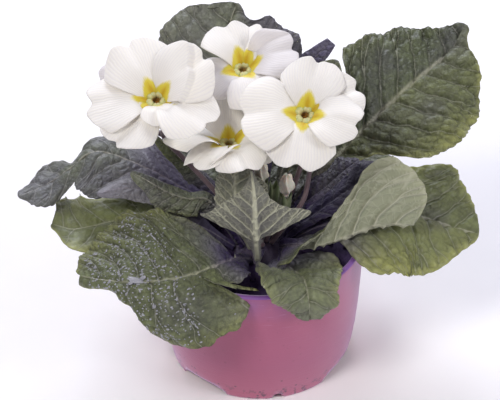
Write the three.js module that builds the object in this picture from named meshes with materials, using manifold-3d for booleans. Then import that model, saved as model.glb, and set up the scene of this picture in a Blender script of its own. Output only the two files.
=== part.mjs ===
// A primrose in its plastic pot, in millimetres, +Z up.
// The origin is the middle of the pot's underside, on the ground, and -Y is the plant's front.
import * as THREE from "three";
import { mergeVertices } from "three/addons/utils/BufferGeometryUtils.js";
import Module from "manifold-3d";

const wasm = await Module();
wasm.setup();

// The pot: a 9 cm nursery pot with a thin wall, a raised floor and a foot ring with arches.
const POT_HEIGHT = 62;
const POT_RIM_RADIUS = 45;
const POT_FOOT_RADIUS = 39.4;
const POT_WALL = 1.1;
const RIM_BAND_HEIGHT = 5;
const RIM_BAND_WALL = 1.6;
const FLOOR_RISE = 3.6;
const FLOOR_DISC_RADIUS = 15;
const FOOT_WIDTH = 2.2;
const ARCH_HEIGHT = 3.3;
const ARCH_SPAN = 34;
const NOTCH_HEIGHT = 2.8;
const NOTCH_SPAN = 7;
const ARCH_AZIMUTHS = [-28, 50, 140, 230];
const NOTCH_AZIMUTHS = [-79, 11, 101, 191];
const DRAIN_HOLE_RADIUS = 2.4;
const DRAIN_RING_RADIUS = 27;
const DRAIN_HOLES = 8;

// The soil and the crown that every leaf and flower stalk grows from.
const SOIL_TOP = 53.5;
const CROWN_X = 1;
const CROWN_Y = -1;
const CROWN_RADIUS = 13;
const CROWN_TOP = 57.3;

// Leaves and flowers.
const LEAF_THICKNESS = 1.0;
const LEAF_ROWS = [6, 10];
const SMALL_LEAF_ROWS = [4, 8];
const SMALL_LEAF_HALF = 14;
const PETAL_THICKNESS = 0.7;
const PETAL_LENGTH = 27;
const PETAL_WIDTH = 31;
const PETAL_START = 1.6;
const PETAL_CUP = 3.2;
const PETAL_ROOT_DEPTH = 0.8;
const TUBE_LENGTH = 16;
const TUBE_RADIUS = 1.6;
const THROAT_RADIUS = 3.4;
const THROAT_DEPTH = 2.6;
const CALYX_LENGTH = 15;
const CALYX_RADIUS = 3.3;
const CALYX_WALL = 0.7;
const CALYX_MOUTH_DEPTH = 5;
const BUD_CALYX_LENGTH = 10;
const BUD_CALYX_RADIUS = 2.7;
const BUD_CALYX_INSIDE = 1.6;
const PEDICEL_RADIUS = 1.1;
const STALK_HALF = 2.3;
const TIP_HALF = 1.0;
const GAP = 0.3;

const primrose = new THREE.Group();

const vector = (p) => new THREE.Vector3(p[0], p[1], p[2]);
const radians = THREE.MathUtils.degToRad;

// A curve through a list of points, or of pairs or single values, read by its fraction from 0 to 1.
function through(values) {
  const points = values.map((v) => {
    const list = [v].flat();
    return new THREE.Vector3(list[0], list[1] ?? list[0], list[2] ?? 0);
  });
  if (points.length === 1) points.push(points[0].clone());
  return new THREE.CatmullRomCurve3(points, false, "catmullrom", 0.5);
}

function material(colour, roughness) {
  return new THREE.MeshStandardMaterial({ color: colour, roughness, metalness: 0 });
}

function addPiece(name, geometry, colour, roughness) {
  const mesh = new THREE.Mesh(geometry, material(colour, roughness));
  mesh.name = name;
  primrose.add(mesh);
  return mesh;
}

// Position-only geometry with shared vertices merged, as a solid for joining and cutting.
function solid(geometry) {
  const bare = geometry.clone();
  bare.deleteAttribute("normal");
  bare.deleteAttribute("uv");
  const merged = mergeVertices(bare, 1e-4);
  const mesh = new wasm.Mesh({
    numProp: 3,
    vertProperties: merged.attributes.position.array,
    triVerts: new Uint32Array(merged.index.array),
  });
  return new wasm.Manifold(mesh);
}

function geometryOf(made) {
  const mesh = made.getMesh();
  const geometry = new THREE.BufferGeometry();
  geometry.setAttribute("position", new THREE.BufferAttribute(mesh.vertProperties, 3));
  geometry.setIndex(new THREE.BufferAttribute(mesh.triVerts, 1));
  return geometry;
}

// Turns a profile of [radius, height] points round the Z axis.
function turned(profile, segments) {
  const points = profile.map(([r, z]) => new THREE.Vector2(r, z));
  return new THREE.LatheGeometry(points, segments).rotateX(Math.PI / 2);
}

// The cutter for an arch in the foot ring, centred at an azimuth: a half ellipse pushed out radially.
function archCutter(azimuth, span, height) {
  const halfWidth = POT_FOOT_RADIUS * Math.sin(radians(span / 2));
  const outline = new THREE.Shape();
  outline.absellipse(0, 0, halfWidth, height, 0, Math.PI, false, 0);
  outline.lineTo(-halfWidth, -1);
  outline.lineTo(halfWidth, -1);
  const options = { depth: 16, bevelEnabled: false, curveSegments: 4 };
  const cutter = new THREE.ExtrudeGeometry(outline, options);
  cutter.rotateX(Math.PI / 2).translate(0, POT_FOOT_RADIUS + 8, 0);
  return cutter.rotateZ(radians(azimuth - 90));
}

// The pot is one moulding. Its profile runs from the axis under the floor, up the outside of the
// wall, over the rim and back down the inside.
function potGeometry() {
  const floorTop = FLOOR_RISE + POT_WALL;
  const footInside = POT_FOOT_RADIUS - FOOT_WIDTH;
  const profile = [
    [0, 0],
    [FLOOR_DISC_RADIUS, 0],
    [FLOOR_DISC_RADIUS + 4, FLOOR_RISE],
    [footInside - 0.8, FLOOR_RISE],
    [footInside, 0],
    [POT_FOOT_RADIUS - 0.6, 0],
    [POT_FOOT_RADIUS, 0.6],
    [41.2, 9.4],
    [43.3, 28],
    [44.4, 49.5],
    [POT_RIM_RADIUS, POT_HEIGHT - 0.6],
    [POT_RIM_RADIUS - 0.4, POT_HEIGHT],
    [POT_RIM_RADIUS - RIM_BAND_WALL, POT_HEIGHT],
    [POT_RIM_RADIUS - RIM_BAND_WALL - 0.2, POT_HEIGHT - RIM_BAND_HEIGHT],
    [44.4 - POT_WALL, POT_HEIGHT - RIM_BAND_HEIGHT - 1.5],
    [43.3 - POT_WALL, 28],
    [41.2 - POT_WALL, 9.4],
    [footInside + 1, floorTop],
    [FLOOR_DISC_RADIUS + 3.6, floorTop],
    [FLOOR_DISC_RADIUS - 0.4, POT_WALL],
    [0, POT_WALL],
  ];
  let pot = solid(turned(profile, 48));
  for (const azimuth of ARCH_AZIMUTHS) {
    pot = pot.subtract(solid(archCutter(azimuth, ARCH_SPAN, ARCH_HEIGHT)));
  }
  for (const azimuth of NOTCH_AZIMUTHS) {
    pot = pot.subtract(solid(archCutter(azimuth, NOTCH_SPAN, NOTCH_HEIGHT)));
  }
  for (let i = 0; i < DRAIN_HOLES; i++) {
    const drill = new THREE.CylinderGeometry(DRAIN_HOLE_RADIUS, DRAIN_HOLE_RADIUS, 8, 8);
    drill.rotateX(Math.PI / 2).translate(DRAIN_RING_RADIUS, 0, FLOOR_RISE);
    drill.rotateZ((2 * Math.PI * (i + 0.5)) / DRAIN_HOLES);
    pot = pot.subtract(solid(drill));
  }
  return geometryOf(pot);
}

// The soil fills the pot to below the rim band, with a surface that rolls a little.
function soilGeometry() {
  const profile = [
    [0, POT_WALL + GAP],
    [FLOOR_DISC_RADIUS - 0.7, POT_WALL + GAP],
    [FLOOR_DISC_RADIUS + 3.4, FLOOR_RISE + POT_WALL + GAP],
    [POT_FOOT_RADIUS - FOOT_WIDTH, FLOOR_RISE + POT_WALL + GAP],
    [41.2 - POT_WALL - GAP, 9.6],
    [43.3 - POT_WALL - GAP, 28],
    [43.9 - POT_WALL - GAP, SOIL_TOP - 3],
    [42, SOIL_TOP - 0.6],
    [36, SOIL_TOP],
    [27, SOIL_TOP],
    [16, SOIL_TOP],
    [0, SOIL_TOP],
  ];
  const soil = turned(profile, 28);
  const place = soil.attributes.position;
  for (let i = 0; i < place.count; i++) {
    const x = place.getX(i);
    const y = place.getY(i);
    const z = place.getZ(i);
    const inner = Math.hypot(x, y) < 17;
    if (z < SOIL_TOP - 1 || inner) continue;
    place.setZ(i, z + 0.7 * Math.sin(x / 5 + 1) * Math.cos(y / 6));
  }
  return soil;
}

// The crown: the low dome at the soil that the stalks crowd on.
function crownGeometry() {
  const profile = [
    [0, SOIL_TOP + GAP],
    [CROWN_RADIUS - 1, SOIL_TOP + GAP],
    [CROWN_RADIUS, SOIL_TOP + 0.8],
    [CROWN_RADIUS - 2, SOIL_TOP + 1.2],
    [CROWN_RADIUS - 5, CROWN_TOP - 1],
    [4.5, CROWN_TOP],
    [0, CROWN_TOP],
  ];
  return turned(profile, 16).translate(CROWN_X, CROWN_Y, 0);
}

// How wide a blade is along its length, as a fraction of its widest: a narrow winged stalk, a
// smooth ramp to the widest place, then a tip that is round where point is 0.5 and sharp above 1.
function bladeWidth(t, stalk, widest, point) {
  const u = (t - stalk) / (1 - stalk);
  if (u <= 0) return 0;
  if (u < widest) return THREE.MathUtils.smoothstep(u, 0, widest);
  return Math.max(0, 1 - ((u - widest) / (1 - widest)) ** 2) ** point;
}

// One leaf. Its spine is the midrib from the crown to the tip. Each half of the blade leaves the
// midrib at its lift angle and bends by its curl angle on the way to the margin. The across
// direction is level and square to the leaf's heading, then rolled about the midrib. Sweep slants
// the rows towards the tip. Left and right are as seen from above with the tip ahead.
function leafGeometry(leaf) {
  const spine = new THREE.CatmullRomCurve3(leaf.spine.map(vector), false, "catmullrom", 0.5);
  const lifts = through(leaf.lift ?? [8]);
  const curls = through(leaf.curl ?? [-16]);
  const rolls = through(leaf.roll ?? [0]);
  const widths = leaf.widths ? through(leaf.widths) : null;
  const foot = vector(leaf.spine[0]);
  const tip = vector(leaf.spine.at(-1));
  const heading = tip.clone().sub(foot).setZ(0).normalize();
  if (leaf.heading !== undefined) {
    heading.set(Math.cos(radians(leaf.heading)), Math.sin(radians(leaf.heading)), 0);
  }
  const level = heading.cross(new THREE.Vector3(0, 0, 1));
  const [sweepLeft, sweepRight] = leaf.sweep ?? [0.15, 0.15];
  const stalks = [leaf.stalk ?? 0.35].flat();
  const widests = [leaf.widest ?? 0.5].flat();
  const points = [leaf.point ?? 0.5].flat();
  const isSmall = leaf.half !== undefined && Math.max(...leaf.half) < SMALL_LEAF_HALF;
  const [rowsAcross, rowsAlong] = isSmall ? SMALL_LEAF_ROWS : LEAF_ROWS;

  const box = new THREE.BoxGeometry(2, 1, 1, rowsAcross, 1, rowsAlong);
  const place = box.attributes.position;
  for (let i = 0; i < place.count; i++) {
    const side = place.getX(i);
    const t = 0.5 - place.getZ(i);
    const centre = spine.getPointAt(t);
    const tangent = spine.getTangentAt(t);
    const across = level.clone().addScaledVector(tangent, -level.dot(tangent)).normalize();
    across.applyAxisAngle(tangent, radians(rolls.getPoint(t).x));
    const up = across.clone().cross(tangent);

    const isRight = side > 0;
    const lift = isRight ? lifts.getPoint(t).y : lifts.getPoint(t).x;
    const curl = isRight ? curls.getPoint(t).y : curls.getPoint(t).x;
    let half;
    if (widths) {
      half = isRight ? widths.getPoint(t).y : widths.getPoint(t).x;
    } else {
      const k = isRight ? 1 : 0;
      const stalk = stalks[k] ?? stalks[0];
      const widest = widests[k] ?? widests[0];
      const width = bladeWidth(t, stalk, widest, points[k] ?? points[0]);
      half = Math.max(t < 0.5 ? STALK_HALF : TIP_HALF, leaf.half[k] * width);
    }
    const q = Math.abs(side);
    const chord = radians(lift + (curl * q) / 2);
    const lean = q === 0 ? 0 : radians(lift + curl * q);
    const outward = across.clone().multiplyScalar(isRight ? 1 : -1);
    const sweep = (isRight ? sweepRight : sweepLeft) * half * q * Math.sin(Math.PI * t);
    const normal = outward.clone().multiplyScalar(-Math.sin(lean)).addScaledVector(up, Math.cos(lean));
    const point = centre
      .addScaledVector(outward, half * q * Math.cos(chord))
      .addScaledVector(up, half * q * Math.sin(chord))
      .addScaledVector(tangent, sweep)
      .addScaledVector(normal, place.getY(i) * LEAF_THICKNESS);
    place.setXYZ(i, point.x, point.y, point.z);
  }
  return box;
}

const LEAVES = {
  leaf_right_back: {
    spine: [[7.4, 5.4, 57.5], [21, 11.5, 78], [37, 20, 93], [61.5, 39, 108.5], [81.5, 60, 114],
      [90.5, 72, 121]],
    half: [29, 34],
    stalk: [0.28, 0.34],
    widest: [0.4, 0.36],
    point: [0.7, 0.78],
    lift: [[30, 30], [12, 8], [8, 4]],
    curl: [[-10, -10], [-14, -26]],
    roll: [0, 26, 26, 20],
  },
  leaf_right_low: {
    spine: [[12.4, 0, 56], [27, 1, 64.6], [45, 3, 68], [66, 7, 66], [82, 6, 61], [95, 5, 57]],
    half: [30, 28],
    stalk: [0.34, 0.1],
    widest: [0.56, 0.36],
    point: [0.5, 0.6],
    lift: [[8, 14], [8, 8]],
    roll: [0, 14, 20, 16],
    sweep: [0.15, -0.1],
  },
  leaf_right_folded: {
    spine: [[8.4, -6, 58], [11, -10, 62.5], [16, -11.5, 64], [23, -12, 65], [34, -12, 68], [47, -10, 72.8],
      [57, -9, 73.6], [66, -8, 72], [72, -7, 70]],
    widths: [[2.2, 2.2], [4, 17], [8, 12], [14, 14], [16, 22], [16, 29], [16, 28], [12, 21], [1, 1]],
    lift: [[20, 6], [20, 4], [20, 62], [20, 108], [20, 118], [20, 118], [20, 116], [20, 112]],
    curl: [[-6, -6]],
    heading: 5,
  },
  leaf_front_upright: {
    spine: [[0.4, -7.8, 58], [-1, -15, 59.5], [-1.3, -19, 66], [-1.8, -21.5, 76], [-2.1, -22, 86.5],
      [-2.5, -19, 97], [-3.8, -12, 104]],
    widths: [[1.8, 1.8], [2, 2], [2.4, 2.4], [10, 10], [26, 26], [17, 16], [12, 9], [5, 5], [1, 1]],
    lift: [[12, 12], [16, 16], [20, 20]],
    curl: [[0, 0]],
    heading: -90,
  },
  leaf_front_right: {
    spine: [[7, -11.4, 55.8], [13, -18, 57], [17, -26, 59.6], [18.5, -35, 64.5], [19.5, -42.5, 65.5],
      [20.5, -47.5, 60], [20.5, -49, 52]],
    half: [18, 18],
    stalk: 0.1,
    widest: 0.55,
    lift: [[6, 6], [14, 14], [8, 8], [-8, -8]],
    curl: [[-10, -10], [-10, -10], [-20, -20], [-40, -40]],
    heading: -90,
  },
  leaf_front_left: {
    spine: [[-4, -11.6, 56.4], [-13, -26, 67.5], [-30, -39.5, 70.5], [-49, -41, 68], [-64, -36, 64.5],
      [-76, -29, 61]],
    half: [34, 36],
    stalk: [0.3, 0.12],
    widest: [0.26, 0.55],
    point: [1.9, 0.5],
    lift: [[0, 12], [20, 14], [-6, 16], [-20, 16], [-26, 16]],
    curl: [[-10, -10], [-16, -10], [-80, -10], [-64, -10], [-50, -10]],
    sweep: [-0.6, 0.1],
    heading: 185,
  },
  leaf_left_low: {
    spine: [[-11, -3, 56], [-30, 2, 65], [-57, 4, 66], [-79, -2, 65.5], [-90, 1, 65]],
    half: [22, 22],
    stalk: 0.42,
    lift: [[-8, 16]],
  },
  leaf_left_back: {
    spine: [[-7.5, 3.6, 57.5], [-22, 14, 67], [-37, 19.5, 74], [-49, 21, 81], [-70, 25, 87], [-82, 20, 82],
      [-91, 16, 77], [-104, 8, 74.5]],
    half: [20, 20],
    stalk: 0.2,
    point: 0.7,
    lift: [[-4, -10], [-20, -14]],
    curl: [[-16, -12]],
  },
  leaf_left_curled: {
    spine: [[-6.6, -4.6, 57.5], [-18, -4, 70], [-30, -2, 77], [-42, 2, 83.5], [-54, 5, 87.5]],
    half: [9, 6],
    stalk: 0.3,
    lift: [[-30, 20]],
    curl: [[-30, -10]],
  },
  leaf_left_small: {
    spine: [[-9, -1.6, 57.3], [-26, 2, 68], [-44, 3, 74], [-58, 0, 79], [-70, -2, 82.5]],
    half: [7, 7],
    stalk: 0.45,
    lift: [[-20, 10]],
  },
  leaf_right_young: {
    spine: [[8.4, -0.8, 58], [18, 3.4, 73], [28, 4, 83], [36, 5, 91], [42, 6.5, 95.5]],
    half: [5, 3.5],
    stalk: 0.4,
    lift: [[20, 20]],
    curl: [[-40, -40]],
  },
  leaf_right_purple: {
    spine: [[10.4, 1.6, 57.5], [20, 6, 64], [32, 9, 73], [45, 9.5, 84], [58, 8, 92]],
    half: [6, 4],
    stalk: 0.45,
  },
  leaf_left_rolled: {
    spine: [[-6, -0.4, 58.2], [-16, 9, 75], [-32, 14, 88.5], [-46, 16, 103]],
    half: [6, 6],
    stalk: 0.4,
    lift: [[-30, -10]],
    curl: [[-60, -30]],
  },
  leaf_front_young: {
    spine: [[-4.2, -6, 58], [-9, -10, 71], [-12, -11, 83], [-12.5, -9, 93]],
    half: [10, 10],
    stalk: 0.35,
    lift: [[20, 20]],
    heading: -110,
  },
  leaf_back_left: {
    spine: [[-3.6, 8, 57.5], [-8, 26, 80], [-11, 43, 100], [-14, 58, 115], [-13, 68, 125], [-10, 74, 131]],
    half: [32, 33],
    stalk: 0.36,
    lift: [[6, 0]],
    curl: [[-14, -30]],
    heading: 92,
  },
  leaf_back_tip: {
    spine: [[0.8, 6.4, 58.2], [4, 30, 84], [13, 48, 105], [29, 60, 121]],
    half: [9, 9],
    stalk: 0.5,
    lift: [[20, 20]],
  },
  leaf_back_right_tall: {
    spine: [[5, 5.6, 58.2], [9.4, 16, 82], [19, 22, 104], [34, 27, 124]],
    half: [8, 9],
    stalk: 0.4,
  },
  leaf_back_low: {
    spine: [[1, 11.5, 55.8], [3, 30, 66], [6, 54, 71], [8, 74, 66], [8, 86, 58]],
    half: [23, 22],
    stalk: 0.36,
  },
  leaf_back_right_low: {
    spine: [[9.6, 8, 55.8], [24, 25, 65], [40, 42, 68], [51, 55, 63], [57, 62, 57]],
    half: [18, 18],
    stalk: 0.36,
  },
  leaf_back_left_low: {
    spine: [[-8, 7.6, 55.8], [-25, 26, 66], [-46, 40, 69], [-60, 52, 62], [-68, 57, 55]],
    half: [21, 20],
    stalk: 0.36,
  },
};

// One petal in its flower's frame: it runs out along +Y from the throat, with the notch in its
// end, and +Z is the flower's face. It cups up a little, then flattens towards its rim.
function petalGeometry(petal) {
  const [turn, rise, twist = 0, fold = 0, size = 1] = petal;
  const box = new THREE.BoxGeometry(2, 1, 1, 4, 1, 4);
  const place = box.attributes.position;
  for (let i = 0; i < place.count; i++) {
    const side = place.getX(i);
    const s = 0.5 - place.getZ(i);
    const notch = 0.1 * Math.exp(-((side / 0.3) ** 2));
    const end = 1 - notch - 0.4 * Math.abs(side) ** 3;
    const out = PETAL_START + (PETAL_LENGTH * size - PETAL_START) * s * end;
    const half = (PETAL_WIDTH / 2) * size * (0.14 + 0.86 * Math.sin((Math.PI / 2) * s ** 0.9));
    const wide = half * side;
    const cupped = PETAL_CUP * Math.sin((Math.PI * s) / 2) - PETAL_ROOT_DEPTH;
    const raised = cupped + Math.abs(wide) * Math.tan(radians(fold));
    place.setXYZ(i, wide, out, raised + place.getY(i) * PETAL_THICKNESS);
  }
  box.rotateY(radians(twist)).rotateX(radians(rise));
  return box.rotateZ(radians(turn - 90));
}

// The corolla is one piece: five petals joined round a trumpet-shaped tube with a shallow throat.
function corollaGeometry(petals) {
  const tube = [
    [0, -TUBE_LENGTH],
    [TUBE_RADIUS, -TUBE_LENGTH],
    [TUBE_RADIUS, -4],
    [THROAT_RADIUS, -1.2],
    [THROAT_RADIUS, 0.4],
    [1.9, 0.2],
    [1.3, -THROAT_DEPTH],
    [0, -THROAT_DEPTH],
  ];
  const trumpet = turned(tube, 10);
  let corolla = solid(trumpet);
  for (const petal of petals) {
    corolla = corolla.add(solid(petalGeometry(petal)));
  }
  const mouth = [
    [0, -THROAT_DEPTH],
    [1.3, -THROAT_DEPTH],
    [1.9, 0.2],
    [1.9, 6],
    [0, 6],
  ];
  return geometryOf(corolla.subtract(solid(turned(mouth, 10))));
}

// The calyx: a five-ribbed green cup round the corolla's tube, with a tooth on each rib.
function calyxGeometry(length, inner, outer) {
  const profile = [
    [0, -length],
    [PEDICEL_RADIUS + 0.2, -length],
    [outer * 0.8, -length + 2.5],
    [outer, -length * 0.45],
    [outer * 0.92, 0],
    [outer * 0.92 - CALYX_WALL, 0],
    [Math.max(inner, outer - CALYX_WALL - 0.4), -length * 0.45],
    [inner, -length + 3.4],
    [0, -length + 3.1],
  ];
  const calyx = turned(profile, 10);
  const place = calyx.attributes.position;
  for (let i = 0; i < place.count; i++) {
    const x = place.getX(i);
    const y = place.getY(i);
    const rib = Math.cos(5 * Math.atan2(y, x));
    if (place.getZ(i) > -0.5) place.setZ(i, place.getZ(i) + 1.4 * rib);
    if (Math.hypot(x, y) > outer * 0.9) {
      place.setX(i, x * (1 + 0.05 * rib));
      place.setY(i, y * (1 + 0.05 * rib));
    }
  }
  return calyx;
}

// The anthers, in a ring at the bottom of the throat: one small five-lobed boss.
function anthersGeometry() {
  const profile = [
    [0, 0],
    [0.75, 0],
    [0.9, 0.8],
    [0.6, 1.4],
    [0, 1.2],
  ];
  const boss = turned(profile, 10);
  const place = boss.attributes.position;
  for (let i = 0; i < place.count; i++) {
    const lobe = 1 + 0.12 * Math.cos(5 * Math.atan2(place.getY(i), place.getX(i)));
    place.setX(i, place.getX(i) * lobe);
    place.setY(i, place.getY(i) * lobe);
  }
  return boss.translate(0, 0, -THROAT_DEPTH + GAP);
}

// A flower's frame: its origin is the throat and +Z the way it faces, given by azimuth and
// elevation, with +X level to its right as seen from in front.
function flowerFrame(throat, azimuth, elevation) {
  const a = radians(azimuth);
  const e = radians(elevation);
  const face = new THREE.Vector3(Math.cos(e) * Math.cos(a), Math.cos(e) * Math.sin(a), Math.sin(e));
  const right = new THREE.Vector3(0, 0, 1).cross(face).normalize();
  const top = face.clone().cross(right);
  const frame = new THREE.Matrix4().makeBasis(right, top, face);
  return frame.setPosition(vector(throat));
}

// A round flower stalk from the crown to the foot of a calyx, through one point between.
function pedicelGeometry(foot, middle, top, arrival) {
  const lead = top.distanceTo(vector(middle)) / 3;
  const before = top.clone().addScaledVector(arrival, -lead);
  const path = new THREE.CatmullRomCurve3([vector(foot), vector(middle), before, top]);
  const section = new THREE.Shape().absarc(0, 0, PEDICEL_RADIUS, 0, 2 * Math.PI);
  return new THREE.ExtrudeGeometry(section, { steps: 7, curveSegments: 4, extrudePath: path });
}

// Flowers: the throat, the way the flower faces as azimuth and elevation, where its stalk leaves
// the crown and passes, and its petals as turn, rise, twist, fold and size.
const FLOWERS = [
  {
    name: "flower_left",
    throat: [-42.8, 4, 128],
    faces: [-104, 66],
    stalkFoot: [-2.8, -3.2, 58.2],
    stalkMiddle: [-19, 2, 82],
    petals: [[123, 11, 0, 0, 1.06], [52, 34, 0, -14], [-25, 10, 0, 0, 1.06], [-96, 8, 0, 0, 1.06],
      [211, 3, 0, 0, 1.16]],
  },
  {
    name: "flower_top",
    throat: [-7.2, 27, 126.5],
    faces: [-98, 76],
    stalkFoot: [1, 3.4, 58.2],
    stalkMiddle: [-4, 16, 86],
    petals: [[115, 10, 0, 0, 0.86], [70, 14, 0, 0, 0.86], [28, 24, 0, 14, 0.9], [-45, 8, 0, 0, 0.88],
      [200, 6, 0, 0, 0.9]],
  },
  {
    name: "flower_right",
    throat: [18.6, -2, 124],
    faces: [-94, 65],
    stalkFoot: [4.8, 1.2, 58.2],
    stalkMiddle: [14, 7, 80],
    petals: [[83, 8], [24, 6], [-27, 10], [-88, 4], [187, 5, 0, 0, 1.04]],
  },
  {
    name: "flower_front",
    throat: [-13, 1, 106.5],
    faces: [-100, 84],
    stalkFoot: [1, -5.4, 58.2],
    stalkMiddle: [-6, -3, 76],
    petals: [[90, 18, 0, 0, 0.92], [34, 16, 0, 0, 0.9], [-32, 10, 0, 0, 0.9], [-122, 12, 0, 0, 0.9],
      [175, 12, 0, 0, 0.92]],
  },
  {
    name: "flower_hidden",
    throat: [-51, 38, 110],
    faces: [-125, 60],
    stalkFoot: [-2.8, 1.2, 58.2],
    stalkMiddle: [-17, 23, 82],
    petals: [[100, 10, 0, 0, 0.8], [28, 8, 0, 0, 0.8], [-44, 10, 0, 0, 0.8], [-116, 10, 0, 0, 0.8],
      [172, 10, 0, 0, 0.8]],
  },
];

// Buds: the calyx mouth, the way it faces, how far the folded petals stand out, and the stalk.
const BUDS = [
  {
    name: "bud_middle",
    mouth: [0.8, 2, 88],
    faces: [-80, 80],
    petals: 7,
    stalkFoot: [-0.4, -1.8, 58.2],
    stalkMiddle: [0, 0, 66],
  },
  {
    name: "bud_right",
    mouth: [11, 0, 82],
    faces: [-20, 75],
    petals: 9,
    stalkFoot: [2.4, -1.8, 58.2],
    stalkMiddle: [4.8, -1.5, 64],
  },
  {
    name: "bud_small",
    mouth: [6.4, 9, 80],
    faces: [60, 80],
    petals: 0,
    stalkFoot: [1, 0.6, 58.2],
    stalkMiddle: [2.6, 3.4, 63],
  },
  {
    name: "bud_behind",
    mouth: [28, 12, 105],
    faces: [-50, 60],
    petals: 8,
    stalkFoot: [4.8, -3.2, 58.2],
    stalkMiddle: [18.5, 0.5, 79],
  },
];

// A closed bud's petals: a pointed egg that stands in the calyx.
function budGeometry(length) {
  const profile = [
    [0, -5],
    [1.0, -4.6],
    [1.3, 2],
    [length * 0.3, length * 0.45],
    [length * 0.26, length * 0.75],
    [length * 0.12, length * 0.96],
    [0, length],
  ];
  return turned(profile, 12);
}

addPiece("pot", potGeometry(), 0xa6607c, 0.45);
addPiece("soil", soilGeometry(), 0x2b2320, 0.95);
addPiece("crown", crownGeometry(), 0x6f7a4a, 0.8);

for (const [name, leaf] of Object.entries(LEAVES)) {
  addPiece(name, leafGeometry(leaf), 0x5b6847, 0.7);
}

for (const flower of FLOWERS) {
  const name = flower.name;
  const frame = flowerFrame(flower.throat, ...flower.faces);
  const arrival = new THREE.Vector3(0, 0, 1).transformDirection(frame);
  const calyxFoot = -CALYX_MOUTH_DEPTH - CALYX_LENGTH - GAP;
  const top = vector(flower.throat).addScaledVector(arrival, calyxFoot);
  const corolla = corollaGeometry(flower.petals);
  const calyx = calyxGeometry(CALYX_LENGTH, TUBE_RADIUS + GAP, CALYX_RADIUS);
  const pedicel = pedicelGeometry(flower.stalkFoot, flower.stalkMiddle, top, arrival);
  calyx.translate(0, 0, -CALYX_MOUTH_DEPTH);
  addPiece(name, corolla.applyMatrix4(frame), 0xf4f1ee, 0.6);
  addPiece(name + "_anthers", anthersGeometry().applyMatrix4(frame), 0xc9952a, 0.7);
  addPiece(name + "_calyx", calyx.applyMatrix4(frame), 0x7d8a5a, 0.75);
  addPiece(name + "_pedicel", pedicel, 0x6d5560, 0.7);
}

for (const bud of BUDS) {
  const name = bud.name;
  const frame = flowerFrame(bud.mouth, ...bud.faces);
  const arrival = new THREE.Vector3(0, 0, 1).transformDirection(frame);
  const top = vector(bud.mouth).addScaledVector(arrival, -BUD_CALYX_LENGTH - GAP);
  const calyx = calyxGeometry(BUD_CALYX_LENGTH, BUD_CALYX_INSIDE, BUD_CALYX_RADIUS);
  const pedicel = pedicelGeometry(bud.stalkFoot, bud.stalkMiddle, top, arrival);
  if (bud.petals > 0) {
    addPiece(name + "_petals", budGeometry(bud.petals).applyMatrix4(frame), 0xe9e4d8, 0.6);
  }
  addPiece(name + "_calyx", calyx.applyMatrix4(frame), 0x7d8a5a, 0.75);
  addPiece(name + "_pedicel", pedicel, 0x6d5560, 0.7);
}

export default primrose;
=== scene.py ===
import math

import bmesh
import bpy
import numpy as np
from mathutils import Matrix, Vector


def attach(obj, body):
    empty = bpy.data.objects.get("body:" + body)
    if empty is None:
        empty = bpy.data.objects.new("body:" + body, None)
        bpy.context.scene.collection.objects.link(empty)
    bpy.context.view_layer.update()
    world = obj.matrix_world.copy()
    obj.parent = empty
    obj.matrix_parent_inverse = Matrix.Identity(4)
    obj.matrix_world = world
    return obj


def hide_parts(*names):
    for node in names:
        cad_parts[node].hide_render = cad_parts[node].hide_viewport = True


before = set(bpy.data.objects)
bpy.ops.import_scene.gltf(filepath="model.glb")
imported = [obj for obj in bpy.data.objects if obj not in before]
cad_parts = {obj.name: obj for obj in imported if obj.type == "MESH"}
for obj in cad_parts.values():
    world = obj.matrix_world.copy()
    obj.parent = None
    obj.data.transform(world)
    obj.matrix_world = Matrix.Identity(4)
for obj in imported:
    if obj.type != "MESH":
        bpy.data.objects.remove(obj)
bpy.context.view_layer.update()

# The pot: a thin 9 cm nursery pot, injection moulded in dusty-pink polypropylene. It stands on a
# foot ring with four arches and four notches that let water out, and its lip is turned inwards.
# Lengths are in millimetres, and MM turns them to the frame's metres.
MM = 0.001
POT_SEGMENTS = 200
ARCH_AZIMUTHS = (-28, 50, 140, 230)
ARCH_SPAN, ARCH_HEIGHT = 35, 4.4
NOTCH_AZIMUTHS = (-79, 11, 101, 191)
NOTCH_SPAN, NOTCH_HEIGHT = 7, 2.8
DRAIN_HOLES, DRAIN_RING, DRAIN_RADIUS = 8, 27, 2.4


def linear(colour):
    """The linear colour of an sRGB hex value."""
    parts = [int(colour[i : i + 2], 16) / 255 for i in (1, 3, 5)]
    return [*(c / 12.92 if c <= 0.04045 else ((c + 0.055) / 1.055) ** 2.4 for c in parts), 1]


def plain(title):
    """A socket's name as one plain word: Sheen Weight is sheen_weight."""
    return title.lower().replace(" ", "_")


def feed(node, *values, **named):
    """Sets or links a node's inputs, in the order that they show or by name. A node given as a
    value stands for the first output that it shows, and a hex value for its colour."""
    shown = [socket for socket in node.inputs if socket.enabled]
    by_name = {plain(socket.name): socket for socket in shown}
    pairs = [*zip(shown, values), *((by_name[key], value) for key, value in named.items())]
    for socket, value in pairs:
        if isinstance(value, bpy.types.Node):
            value = next(output for output in value.outputs if output.enabled)
        if isinstance(value, bpy.types.NodeSocket):
            node.id_data.links.new(value, socket)
        else:
            socket.default_value = linear(value) if isinstance(value, str) else value


def add(tree, kind, *values, **settings):
    """Adds a shader node with its settings, and feeds its inputs."""
    made = tree.nodes.new("ShaderNode" + kind)
    inputs = {plain(socket.name) for socket in made.inputs}
    for key in [key for key in settings if key not in inputs]:
        setattr(made, key, settings.pop(key))
    feed(made, *values, **settings)
    return made


def new_material(name, roughness, ior=1.45):
    """A material, its tree and shader, and where a point lies on its piece, in millimetres."""
    made = bpy.data.materials.new(name)
    made.use_nodes = True
    tree = made.node_tree
    shader = tree.nodes["Principled BSDF"]
    feed(shader, roughness=roughness, ior=ior)
    return made, tree, shader, add(tree, "Attribute", attribute_name="place").outputs["Vector"]


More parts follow.
